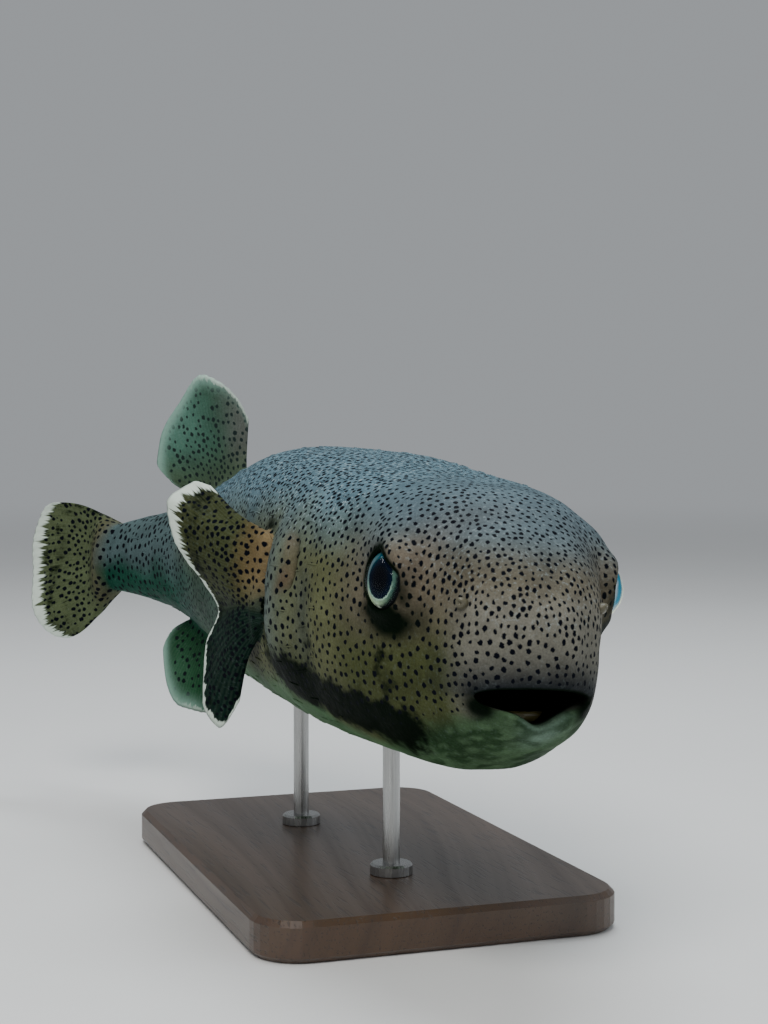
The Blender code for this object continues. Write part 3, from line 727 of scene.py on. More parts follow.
def points_of(mesh):
    flat = np.empty(len(mesh.vertices) * 3)
    mesh.vertices.foreach_get("co", flat)
    return flat.reshape(-1, 3)


def normals_at(mesh):
    flat = np.empty(len(mesh.vertices) * 3)
    mesh.vertex_normals.foreach_get("vector", flat)
    return flat.reshape(-1, 3)


def tree_of(points):
    tree = kdtree.KDTree(len(points))
    for index, point in enumerate(points):
        tree.insert(point, index)
    tree.balance()
    return tree


def refine_round_eyes(mesh):
    """Cuts the faces round each eye finer, so that the lids come out round."""
    every_way = dict(use_axis_x=True, use_axis_y=True, use_axis_z=True)
    with editing(mesh) as edit:
        for side in (-1, 1):
            place = in_eye(unposed([vertex.co for vertex in edit.verts]), side)
            near = np.hypot(place[:, 0], place[:, 1]) < LID_REACH + 0.002
            near = near & (place[:, 2] > -0.004)
            chosen = [vertex for vertex, inside in zip(edit.verts, near) if inside]
            edges = {edge for vertex in chosen for edge in vertex.link_edges}
            made = bmesh.ops.subdivide_edges(edit, edges=list(edges), cuts=2, use_grid_fill=True)
            fresh = [item for item in made["geom_inner"] if isinstance(item, bmesh.types.BMVert)]
            for _ in range(4):
                bmesh.ops.smooth_vert(edit, verts=fresh, factor=0.5, **every_way)
        local = unposed([vertex.co for vertex in edit.verts])
        for vertex, point in zip(edit.verts, posed(shape_lids(local))):
            vertex.co = point
        bmesh.ops.triangulate(edit, faces=[face for face in edit.faces if len(face.verts) > 4])


def join(target, adding):
    """Makes the second object part of the first one's closed mesh."""
    modifier = target.modifiers.new("join", "BOOLEAN")
    modifier.operation = "UNION"
    modifier.solver = "MANIFOLD"
    modifier.object = adding
    evaluated = target.evaluated_get(bpy.context.evaluated_depsgraph_get())
    mesh = bpy.data.meshes.new_from_object(evaluated)
    target.modifiers.clear()
    target.data = mesh
    bpy.data.objects.remove(adding)


def smooth_seams(mesh, seams, reach=0.0045, rounds=14):
    """Softens the skin close to where fins were joined on."""
    points = points_of(mesh)
    near = tree_of(points[seams])
    weight = np.array([1 - near.find(point)[2] / reach for point in points])
    weight = ease(weight) * 0.7
    edges = np.empty(len(mesh.edges) * 2, int)
    mesh.edges.foreach_get("vertices", edges)
    a, b = edges.reshape(-1, 2).T
    count = np.bincount(a, minlength=len(points)) + np.bincount(b, minlength=len(points))
    for _ in range(rounds):
        total = np.zeros_like(points)
        np.add.at(total, a, points[b])
        np.add.at(total, b, points[a])
        points += (total / count[:, None] - points) * weight[:, None]
    mesh.vertices.foreach_set("co", points.ravel())
    mesh.update()


def build_skin():
    """One closed skin of body and fins, with each vertex's fin row and mouth distance."""
    grid, aways = body_grid()
    caudal, caudal_rows = caudal_rings(grid[-1])
    rings = np.concatenate([grid, np.array(caudal)])
    rows = np.concatenate([np.zeros((len(grid), AROUND, 5)), np.array(caudal_rows)])
    aways = np.concatenate([aways, np.ones((len(caudal), AROUND))])
    faces = ring_faces(len(rings), AROUND) + [tuple(range(AROUND))]
    known_points = [posed(rings).reshape(-1, 3)]
    known_rows, known_aways = [rows.reshape(-1, 5)], [aways.ravel()]
    body = mesh_from("spotted_skin", known_points[0], faces)
    skin = new_object("spotted_skin", body, "spotted_skin")
    refine_round_eyes(skin.data)
    shells = (
        median_fin(DORSAL_FIN, DORSAL_RAYS, DORSAL_ROOT, 1, rows=36, columns=76),
        median_fin(ANAL_FIN, ANAL_RAYS, ANAL_ROOT, -1, rows=34, columns=70),
        pectoral_fin(RIGHT_PECTORAL, RIGHT_PECTORAL_RAYS, -1, rows=42, columns=118),
        pectoral_fin(LEFT_PECTORAL, LEFT_PECTORAL_RAYS, 1, rows=40, columns=110),
    )
    before = points_of(skin.data).copy()
    for local, faces, fin in shells:
        points = posed(local)
        join(skin, new_object("fin", mesh_from("fin", points, faces)))
        known_points.append(points)
        known_rows.append(fin)
        known_aways.append(np.ones(len(fin)))
    known = np.concatenate(known_points)
    tree = tree_of(np.concatenate([known, before]))
    points = points_of(skin.data)
    seams = np.array([tree.find(point)[2] for point in points]) > SEAM_GAP
    smooth_seams(skin.data, seams)
    nearest = tree_of(known)
    index = np.array([nearest.find(point)[1] for point in points])
    return skin, np.concatenate(known_rows)[index], np.concatenate(known_aways)[index]


# ---------------------------------------------------------------- markings
# a fin's kind, colour, metres between its spots, their radius and the width of its pale edge
FINS = (
    (CAUDAL, FIN, 0.0042, 0.00118, 0.0105),
    (DORSAL_FIN, DORSAL, 0.0037, 0.00108, 0.0030),
    (ANAL_FIN, ANAL, 0.0042, 0.00110, 0.0030),
    (RIGHT_PECTORAL, PECTORAL, 0.0034, 0.00112, 0.0098),
    (LEFT_PECTORAL, PECTORAL, 0.0034, 0.00112, 0.0085),
)


def patch(a, b, middle, spread, power=2):
    """A soft patch of 1 and less round a middle, by two coordinates."""
    return bell((a - middle[0]) / spread[0]) * bell((b - middle[1]) / spread[1], power)


def painted(tone, *layers):
    """The tone under layers of (colour, share at each point), the last one on top."""
    for colour, share in layers:
        tone = tone + (np.array(colour) - tone) * np.clip(share, 0, 1)[..., None]
    return tone


class Places:
    """Where the skin's points are: on the straight fish, on its fins and round its mouth."""

    def __init__(self, points, fin, away):
        self.local = unposed(points)
        self.x, self.y, self.z = self.local.T
        _, middle, height = section(np.clip(self.y, 0, STALK_END))
        self.up = np.clip((self.z - middle) / height, -1.2, 1.2)
        self.kind = np.rint(fin[:, 0]).astype(int)
        self.place, self.out, self.to_margin, self.along = fin[:, 1:].T
        self.body = self.kind == 0
        self.median = (self.kind == DORSAL_FIN) | (self.kind == ANAL_FIN)
        self.paired = self.kind >= RIGHT_PECTORAL
        self.away = away
        self.patchy = ripple(points, 0.022, 3.0)
        self.fine = ripple(points, 0.009, 8.0)
        self.veins = ripple(points * (1.0, 0.6, 1.8), 0.0048, 5.0)
        self.gill = patch(self.y, self.z, (0.262, 0.005), (0.030, 0.058), 4)
        self.face = ease((0.15 - self.y) / 0.05)
        along_back = ease((self.y - 0.13) / 0.05) * ease((0.70 - self.y) / 0.08)
        self.high = ease((self.up - 0.35) / 0.4) * along_back
        self.above_mouth = ease((self.z - MOUTH_CORNER_Z + 0.006) / 0.008) * self.body
        self.below_mouth = (1 - self.above_mouth) * self.body


def body_tone(at):
    """The body's colour: patches from nose to tail, laid one over another."""
    x, y, z, up, patchy = at.x, at.y, at.z, at.up, at.patchy
    level = z / 0.105
    level = level + (up - level) * ease((y - 0.05) / 0.10)
    face_height = ease((level + 0.30) / 0.45) * ease((0.85 - level) / 0.5)
    stalk = ease((y - 0.60) / 0.12)
    eye_front = patch(y, z, (0.072, 0.040), (0.016, 0.030))
    pale = ease((-0.74 + 0.20 * ease((y - 0.17) / 0.05) - up + 0.10 * patchy) / 0.22)
    return painted(
        np.tile(np.array(FLANK), (len(y), 1)),
        # lower cheek: own olive, darkened as painted shade
        (CHEEK, ease((0.165 - y) / 0.04) * ease((0.35 - up) / 0.4)),
        # back: own grey, with the bluish light from above painted in
        (BACK, ease((up - 0.30 + 0.15 * ease((y - 0.3) / 0.1) + 0.12 * patchy) / 0.55)),
        (FACE, ease((0.17 - y) / 0.06) * face_height),
        (SNOUT, 0.9 * ease((0.050 - y) / 0.032) * ease((0.35 - level) / 0.30)),
        (FOREHEAD, ease((0.21 - y) / 0.16) * ease((level - 0.18 + 0.15 * patchy) / 0.60)),
        # lower rear: own teal, darkened as painted shade
        (REAR, ease((y - 0.38) / 0.10) * ease((0.25 - up) / 0.5)),
        (STALK, stalk),
        # painted shade under the tail stalk
        (STALK_UNDER_SHADE, stalk * ease((0.10 + 0.25 * patchy - up) / 0.6)),
        (PINK, 0.8 * at.gill),
        # painted shade in the crease before the gill swelling
        (VALLEY, 0.8 * patch(y, z, (0.203, -0.012), (0.013, 0.040), 4)),
        # before the eye: a painted highlight on the right side, a faint own tone on the left
        (EYE_FRONT_AND_HIGHLIGHT, np.where(x < 0, 0.42, 0.1) * eye_front),
        (GILL_LOW, 0.85 * patch(y, up, (0.238, -0.54), (0.052, 0.16))),
        # belly: its own paler tone, painted darker and greener as shade
        (BELLY, pale * ease((y - 0.05) / 0.05) * ease((0.66 - y) / 0.15)),
    )


def mouth_tone(tone, at):
    """The chin and the lips over the body's tone."""
    x, y, z, up, away = at.x, at.y, at.z, at.up, at.away
    mottle = ease((1.8 * at.fine + 1.2 * at.patchy + 0.10) / 0.5)
    chin = ease((0.150 - y) / 0.05) * ease((-0.62 - up) / 0.2)
    chin = np.maximum(chin, ease((-0.064 - z) / 0.012) * ease((0.05 - y) / 0.02))
    pout = patch(x, away, (0.008, 0.007), (0.015, 0.009)) * at.below_mouth
    # painted highlight: a pale line along the lower lip's edge
    lip_highlight = patch(away, x, (0.0018, 0.006), (0.0016, 0.018), 4) * at.below_mouth
    return painted(
        tone,
        # chin: own green, darkened as painted shade on the underside
        (CHIN, chin),
        (CHIN_PALE, 0.6 * chin * mottle),
        (CHIN_PALE, 0.8 * chin * ease((at.veins - 0.10) / 0.35)),
        (LIP, 0.95 * bell(np.maximum(away, 0) / 0.022) * at.above_mouth),
        (POUT, (0.30 + 0.6 * mottle) * pout),
        (POUT, 0.5 * lip_highlight),
    )


def fin_tone(tone, at):
    """The fins' tones, which set in over a short way from the root."""
    kind, place, along = at.kind, at.place, at.along
    for number, colour, *_ in FINS:
        tone = painted(tone, (colour, (kind == number) * ease(along / 0.010)))
    rearward = ease((place - 0.30) / 0.6) * ease((along - 0.010) / 0.035)
    base = at.paired * ease(1 - along / 0.020)
    return painted(
        tone,
        (DORSAL_FRONT, (kind == DORSAL_FIN) * ease((0.45 - place) / 0.4) * ease(along / 0.02)),
        (DORSAL_REAR, 0.75 * (kind == DORSAL_FIN) * rearward),
        (FIN, 0.75 * (kind == DORSAL_FIN) * ease(1 - along / 0.030)),
        (ANAL_REAR, 0.80 * (kind == ANAL_FIN) * rearward),
        (FIN_BASE, 0.7 * (kind == CAUDAL) * bell((along - 0.006) / 0.010)),
        (PECTORAL_BASE, 0.8 * base * ease((0.75 - place) / 0.4)),
        # painted shade on the lower part of the pectoral fins
        (PECTORAL_LOW_SHADE, 0.97 * at.paired * ease((place - 0.58) / 0.15)),
    )


def dusk_of(at, rim):
    """Mottled dark: a band along the lower cheek, below the eye, before the gill, on the fins."""
    y, z, caudal = at.y, at.z, at.kind == CAUDAL
    band = bell((at.up + 0.780 - y) / 0.160) * ease((y - 0.050 - 0.020 * at.patchy) / 0.05)
    return np.max([
        1.62 * band * ease((0.33 - y) / 0.10),
        # painted shade in the crease before the gill
        0.66 * patch(y, z, (0.194, -0.062), (0.020, 0.035), 4),
        0.72 * patch(y, z, (0.098, -0.045), (0.010, 0.030), 4),
        0.50 * (at.paired | caudal) * bell((rim + 0.6) / 1.5),
        0.7 * caudal * bell(at.place / 0.05) * ease(at.along / 0.03),
    ], axis=0)


def eye_shades(forward, upward, outward):
    """Painted shade round one eye, by metres forwards, up and outwards of it."""
    from_axis = np.hypot(forward, upward)
    turn = beyond_fold(np.stack([forward, upward], -1))
    past = np.maximum(from_axis - LID_EDGE, np.minimum(turn - 0.0012, from_axis - FOLD_AT))
    over = bell((forward + 0.0045) / 0.0065) * ease(upward / 0.010)
    socket = bell(np.clip(past, 0, None) / (0.0017 + 0.0027 * over))
    return (
        # below and before the eye: partly the eye's own dark marking, partly painted shade; then
        # painted shade in the socket
        1.28 * patch(forward, upward, (0.0034, -0.0160), (0.0132, 0.0078)),
        0.58 * patch(forward, upward, (0.0170, -0.0125), (0.0105, 0.0085)),
        0.72 * patch(forward, upward, (0.0128, -0.004), (0.0042, 0.011)),
        1.5 * patch(forward, upward, (0, -0.0125), (0.012, 0.0050)) * (outward > 0),
        1.1 * socket * (outward > 0),
    )


def shade_of(at):
    """Smooth painted shade: mouth, eyes' sockets, gill opening, grooves and nostrils."""
    x, y, z, away = at.x, at.y, at.z, at.away
    corner = patch(np.abs(x), z, (0.041, -0.059), (0.013, 0.013)) * bell(away / 0.016, 4)
    shades = [
        bell(np.maximum(away, 0) / 0.0022) * at.above_mouth,
        1.2 * corner,
        0.8 * bell(slit_distance(at.local) / 0.0026) * at.body,
        patch(y, z, (0.291, -0.004), (0.0080, 0.052), 4) * at.body,
        0.9 * patch(y, z, (0.303, 0.052), (0.014, 0.010)) * at.body,
        0.28 * patch(y, z, (0.200, -0.035), (0.010, 0.050), 4) * at.body,
    ]
    for side in (-1, 1):
        nostril = np.array([side * 0.0585, NOSTRIL[0] - 0.004, NOSTRIL[1] - 0.007])
        below = 0.85 * bell(length_of(at.local - nostril) / 0.0056)
        beside = (side * x > 0) * at.body
        shades += [shade * beside for shade in (*eye_shades(*in_eye(at.local, side).T), below)]
    return np.max(shades, axis=0)


def rim_of(at):
    """1 at a fin's free edge, 0 where its pale edge ends, and below that further in."""
    rim = np.zeros(len(at.y))
    for number, *_, width in FINS:
        narrower = 0.62 if number == RIGHT_PECTORAL else 0.0
        wide = width * (1 - ease((at.place - 0.30) / 0.35) * narrower)
        rim = np.where(at.kind == number, 1 - at.to_margin / wide, rim)
    return rim


def spots_of(at, rim):
    """Metres between the spots and their radius."""
    y, z, up = at.y, at.z, at.up
    muzzle = ease((0.060 - y) / 0.03)
    over = at.face * ease((up - 0.12) / 0.35)
    around_eyes = bell((y - 0.085) / 0.040, 4) * ease((z + 0.005) / 0.020) * (1 - over)
    stalk = ease((y - 0.68) / 0.08)
    spacing, radius = np.full(len(y), 0.0041), np.full(len(y), 0.00108)
    for share, further, larger in (
        (at.face, 0.0004, 0.00004),
        (muzzle, -0.0009, -0.00016),
        (around_eyes, -0.0005, -0.00012),
        (over, -0.0013, -0.00022),
        (over * muzzle, 0.0006, 0.00008),
        (at.high, -0.0008, -0.00008),
        (at.gill, 0.0010, 0.00015),
        (stalk, 0.0010, 0.00034),
    ):
        spacing += further * share
        radius += larger * share
    spotted = ease((up + 0.74 + 0.08 * at.fine) / 0.20) * ease(at.away / 0.0040)
    spotted *= 1 - ease((-0.060 - z) / 0.010) * ease((0.055 - y) / 0.02)
    spotted = np.where(at.body, np.maximum(spotted, stalk), 1.0)
    for number, _, apart, size, _ in FINS:
        share = (at.kind == number) * ease(at.along / 0.010)
        spacing += (apart - spacing) * share
        radius += (size - radius) * share
    spotted *= ease(-(rim - 0.25) / 0.35 + at.body * 10)
    return spacing, radius * np.sqrt(np.clip(spotted, 0, 1))


def stretch_of(at):
    """The way in which spots are drawn out, and by how much, as a vector shorter than 1."""
    upright = np.array([0.0, 0.45, 0.89])
    tail_rays = at.local - [0, STALK_END - CAUDAL_APEX, float(section(np.array(STALK_END))[1])]
    paired_rays = at.local - np.stack([np.sign(at.x) * 0.10, 0 * at.x + 0.20, 0 * at.x], -1)
    rise = 0.70 * at.gill + 0.66 * at.face * ease((at.up + 0.1) / 0.3)
    stretch = np.stack([0 * at.x, 0.70 * at.high, rise], -1)
    for on, way in (
        (at.kind == DORSAL_FIN, 0.50 * upright),
        (at.kind == ANAL_FIN, 0.50 * upright * (1, 1, -1)),
        (at.kind == CAUDAL, 0.78 * ease(at.along / 0.01)[:, None] * unit(tail_rays)),
        (at.paired, 0.55 * unit(paired_rays)),
    ):
        stretch = np.where(on[:, None], way, stretch)
    return turned(stretch, at.local)


def mark(points, fin, away):
    """Everything the skin's material needs at each point, as named arrays."""
    at = Places(points, fin, away)
    kind, place = at.kind, at.place
    rim = rim_of(at)
    spacing, radius = spots_of(at, rim)
    red = bell(slit_distance(at.local - [0, 0.0065, 0]) / 0.0070) * at.body
    tone = painted(mouth_tone(body_tone(at), at), (GILL_RED, (0.40 + 0.35 * at.fine) * red))
    soft_rim = at.median * bell(at.to_margin / 0.0060) * (0.3 + 0.7 * ease((place - 0.15) / 0.3))
    return {
        "tone": fin_tone(tone, at),
        "dusk": np.clip(dusk_of(at, rim), 0, 1.7),
        "shade": np.clip(shade_of(at), 0, 1.2),
        "soft_rim": np.maximum(soft_rim, 0.06 * (kind == DORSAL_FIN) + 0.02 * (kind == ANAL_FIN)),
        "spacing": spacing,
        "spot_radius": radius,
        "lie": stretch_of(at),
        "rim": np.clip(rim, -4, 1),
        "pale_rim": np.where(at.median, 0.45 * ease((0.7 - place) / 0.4), kind > 0),
        "ray": np.stack([place * RAY_COUNTS[kind], at.out, kind > 0], -1),
        # where the mouth's inside is painted black as shade
        "inside": ease(-away / 0.0030 + 0.2) * at.body,
        "glint": at.body * (at.high + 0.25 * at.face * ease((at.up - 0.2) / 0.4)),
    }


def turned(directions, local):
    """Directions at places on the straight fish, turned as posed() turns them there."""
    step = 0.0001
    return (posed(local + directions * step) - posed(local)) / (step * TOTAL_LENGTH)


def scatter(mesh, spacing, allowed, candidates, share, seed):
    """Random places on a mesh, no two of them nearer than a share of the spacing there."""
    mesh.calc_loop_triangles()
    corners = np.empty(len(mesh.loop_triangles) * 3, int)
    mesh.loop_triangles.foreach_get("vertices", corners)
    corners = corners.reshape(-1, 3)
    points = points_of(mesh)
    a, b, c = (points[corners[:, column]] for column in range(3))
    area = length_of(np.cross(b - a, c - a)) * (allowed[corners].mean(1) > 0.02)
    draw = np.random.default_rng(seed)
    chosen = draw.choice(len(corners), candidates, p=area / area.sum())
    u, v = draw.random((2, candidates))
    flip = u + v > 1
    u, v = np.where(flip, 1 - u, u), np.where(flip, 1 - v, v)
    places = a[chosen] + (b - a)[chosen] * u[:, None] + (c - a)[chosen] * v[:, None]
    apart = spacing[corners[chosen]].mean(1) * share
    cell = float(apart.max())
    cells = np.floor(places / cell).astype(int)
    taken, kept = {}, []
    steps = list(itertools.product((-1, 0, 1), repeat=3))
    for index in range(candidates):
        x, y, z = places[index]
        i, j, k = cells[index]
        limit = apart[index] ** 2
        others = (taken.get((i + di, j + dj, k + dk), ()) for di, dj, dk in steps)
        if not any((ox - x) ** 2 + (oy - y) ** 2 + (oz - z) ** 2 < limit
                   for ox, oy, oz in itertools.chain.from_iterable(others)):
            taken.setdefault((i, j, k), []).append((x, y, z))
            kept.append(index)
    return places[kept]


def set_attribute(mesh, name, kind, domain, values):
    layer = mesh.attributes.new(name, kind, domain)
    values = np.asarray(values, np.float32)
    if kind == "FLOAT_COLOR":
        values = np.concatenate([values, np.ones((len(values), 1), np.float32)], -1)
        layer.data.foreach_set("color", values.ravel())
    else:
        layer.data.foreach_set("value" if kind == "FLOAT" else "vector", values.ravel())


def put_marks(mesh, marks):
    """Stores the marks where the skin's material reads them."""
    set_attribute(mesh, "tone", "FLOAT_COLOR", "POINT", marks["tone"])
    for name in ("dusk", "shade", "spot_radius", "rim", "soft_rim", "pale_rim", "inside", "glint"):
        set_attribute(mesh, name, "FLOAT", "POINT", marks[name])
    for name in ("lie", "ray"):
        set_attribute(mesh, name, "FLOAT_VECTOR", "POINT", marks[name])


def put_spots(mesh, spots):
    """Gives each face the centres of its two nearest spots."""
    tree = tree_of(spots)
    pairs = np.array([[hit[0] for hit in tree.find_n(face.center, 2)] for face in mesh.polygons])
    set_attribute(mesh, "spot_1", "FLOAT_VECTOR", "FACE", pairs[:, 0])
    set_attribute(mesh, "spot_2", "FLOAT_VECTOR", "FACE", pairs[:, 1])


# ---------------------------------------------------------------- spines
SPINE_SPACING = 0.0150
SPINE_LENGTH = (0.0080, 0.0110)
SPINE_RADIUS = 0.00042
SPINE_SIDES = 6
SPINE_LIFT = 0.00030  # height of the tip over the skin
SPINE_STRAY = 0.10  # how far spines point off the straight line back
# share of the length and of the radius
SPINE_PROFILE = ((0.00, 0.2), (0.10, 0.8), (0.28, 1.0), (0.60, 0.72), (0.85, 0.40), (1.0, 0.06))


def spine_places(skin, marks, local):
    """Where spines grow: the body behind the head, clear of the eyes and gill openings."""
    allowed = (marks["ray"][:, 2] < 0.5) * (local[:, 1] > 0.17) * (local[:, 1] < 0.80)
    allowed = allowed * (marks["inside"] < 0.01) * (bell(slit_distance(local) / 0.012) < 0.3)
    for side in (-1, 1):
        near = in_eye(local, side)
        allowed = allowed * ((np.hypot(near[:, 0], near[:, 1]) > LID_REACH) | (near[:, 2] < 0))
    spacing = np.full(len(local), SPINE_SPACING)
    return scatter(skin.data, spacing, allowed, SPINE_TRIES, SPINE_GAP, seed=5)


def build_spines(skin, marks, spots):
    """Slender spines that lie back along the body, each half sunk in the skin."""
    points, normals = points_of(skin.data), normals_at(skin.data)
    local = unposed(points)
    surface = tree_of(points)
    draw = np.random.default_rng(11)
    backward = turned(np.tile([0.0, 1.0, 0.0], (len(points), 1)), local)
    vertices, faces, homes = [], [], []
    for root in spine_places(skin, marks, local):
        _, at, _ = surface.find(root)
        long = draw.uniform(*SPINE_LENGTH)
        aim = unit(backward[at] + draw.normal(0, SPINE_STRAY, 3))
        first = len(vertices)
        for share, wide in SPINE_PROFILE:
            spot = root + aim * long * share
            _, under, _ = surface.find(spot)
            normal = normals[under]
            spot = spot - normal * np.dot(spot - points[under], normal)
            sideways = unit(np.cross(normal, aim))
            lift = SPINE_LIFT * share**2
            for turn in range(SPINE_SIDES):
                angle = 2 * math.pi * turn / SPINE_SIDES
                around = sideways * math.cos(angle) + normal * math.sin(angle)
                vertices.append(spot + normal * lift + around * SPINE_RADIUS * wide)
                homes.append(at)
        faces += ring_faces(len(SPINE_PROFILE), SPINE_SIDES, first)
        faces.append(tuple(reversed(range(first, first + SPINE_SIDES))))
        faces.append(tuple(range(len(vertices) - SPINE_SIDES, len(vertices))))
    mesh = raw_mesh("flat_spines", vertices, faces)
    nearest = [surface.find(vertex)[1] for vertex in vertices]
    carried = {name: values[nearest] for name, values in marks.items()}
    carried["dusk"] = carried["dusk"] * 0.85
    carried["spot_radius"] = carried["spot_radius"] * 0.0
    put_marks(mesh, carried)
    put_spots(mesh, spots)
    add_bake_map(mesh, local[homes], np.array(vertices), points[homes])
    return new_object("flat_spines", mesh, "spotted_skin")


def add_bake_map(mesh, local, vertices, roots):
    """UV map with a small patch for each spine at its root's place on the unrolled body."""
    _, middle, height = section(np.clip(local[:, 1], 0, STALK_END))
    round_body = np.arctan2((local[:, 2] - middle) / height, local[:, 0]) / (2 * math.pi) + 0.5
    offset = (vertices - roots) / SPINE_LENGTH[1]
    u = 0.05 + 0.9 * round_body + offset[:, 1] * 0.003
    v = 0.05 + 0.9 * local[:, 1] + (offset[:, 0] + offset[:, 2]) * 0.0015
    layer = mesh.uv_layers.new(name="OFBake")
    corner = np.empty(len(mesh.loops), int)
    mesh.loops.foreach_get("vertex_index", corner)
    layer.data.foreach_set("uv", np.stack([u[corner], v[corner]], -1).ravel())


# ---------------------------------------------------------------- materials
class Nodes:
    """Short ways to lay out a material's nodes."""

    def __init__(self, name):
        self.material = bpy.data.materials.new(name)
        self.material.use_nodes = True
        self.tree = self.material.node_tree
        self.shader = self.tree.nodes["Principled BSDF"]
        self.at = self.add("ShaderNodeTexCoord", output="Object")

    def add(self, kind, inputs=None, output=0, **settings):
        made = self.tree.nodes.new(kind)
        for name, value in settings.items():
            setattr(made, name, value)
        for name, value in (inputs or {}).items():
            self.feed(made.inputs[name], value)
        return made.outputs[output]

    def feed(self, socket, value):
        if isinstance(value, bpy.types.NodeSocket):
            self.tree.links.new(value, socket)
        else:
            socket.default_value = (*value, 1.0) if socket.type == "RGBA" else value

    def finish(self, colour, rough, normal, **others):
        looks = {"Base_Color": colour, "Roughness": rough, "Normal": normal, **others}
        for name, value in looks.items():
            self.feed(self.shader.inputs[name.replace("_", " ")], value)
        return self.material

    def math(self, operation, *values):
        return self.add("ShaderNodeMath", dict(enumerate(values)), operation=operation)

    def times(self, *values):
        return self.math("MULTIPLY", *values)

    def vector(self, operation, *values, output=0):
        inputs = dict(enumerate(values))
        return self.add("ShaderNodeVectorMath", inputs, output, operation=operation)

    def mix(self, share, first, second, blend_type="MIX"):
        inputs = {0: share, 6: first, 7: second}
        return self.add("ShaderNodeMix", inputs, 2, data_type="RGBA", blend_type=blend_type)

    def noise(self, scale, detail=3.0, roughness=0.55, at=None, output=0):
        inputs = {"Vector": at or self.at, "Scale": scale, "Detail": detail}
        return self.add("ShaderNodeTexNoise", {**inputs, "Roughness": roughness}, output)

    def vary(self, low, high, scale, detail=3.0, roughness=0.55):
        """Noise laid out evenly from low to high."""
        return self.span(self.noise(scale, detail, roughness), 0.3, 0.7, low, high, smooth=False)

    def attribute(self, name, output="Fac"):
        return self.add("ShaderNodeAttribute", output=output, attribute_name=name)

    def span(self, value, low, high, to_low=0.0, to_high=1.0, smooth=True):
        kind = "SMOOTHSTEP" if smooth else "LINEAR"
        inputs = dict(enumerate((value, low, high, to_low, to_high)))
        return self.add("ShaderNodeMapRange", inputs, interpolation_type=kind)

    def bump(self, height, distance, strength=1.0, under=None):
        inputs = {"Height": height, "Distance": distance, "Strength": strength}
        if under:
            inputs["Normal"] = under
        return self.add("ShaderNodeBump", inputs)


def spot_mask(n):
    """1 inside the dark spots: round or stretched discs with soft, slightly uneven edges."""
    wobble = n.vector("SUBTRACT", n.noise(620.0, 2.0, output="Color"), (0.5, 0.5, 0.5))
    at = n.vector("ADD", n.at, n.vector("MULTIPLY", wobble, (0.0015, 0.0015, 0.0015)))
    lie = n.attribute("lie", "Vector")
    radius = n.attribute("spot_radius")
    masks = []
    for name in ("spot_1", "spot_2"):
        centre = n.attribute(name, "Vector")
        offset = n.vector("SUBTRACT", at, centre)
        squared = n.vector("DOT_PRODUCT", offset, offset, output="Value")
        along = n.vector("DOT_PRODUCT", offset, lie, output="Value")
        distance = n.math("SQRT", n.math("SUBTRACT", squared, n.times(along, along)))
        luck = n.add("ShaderNodeTexWhiteNoise", {"Vector": centre}, "Value", noise_dimensions="3D")
        size = n.times(radius, n.span(luck, 0.0, 1.0, 0.72, 1.22, smooth=False))
        edge = n.math("SUBTRACT", distance, size)
        masks.append(n.span(edge, -0.00028, 0.00018, 1.0, 0.0))
    return n.math("MAXIMUM", *masks)


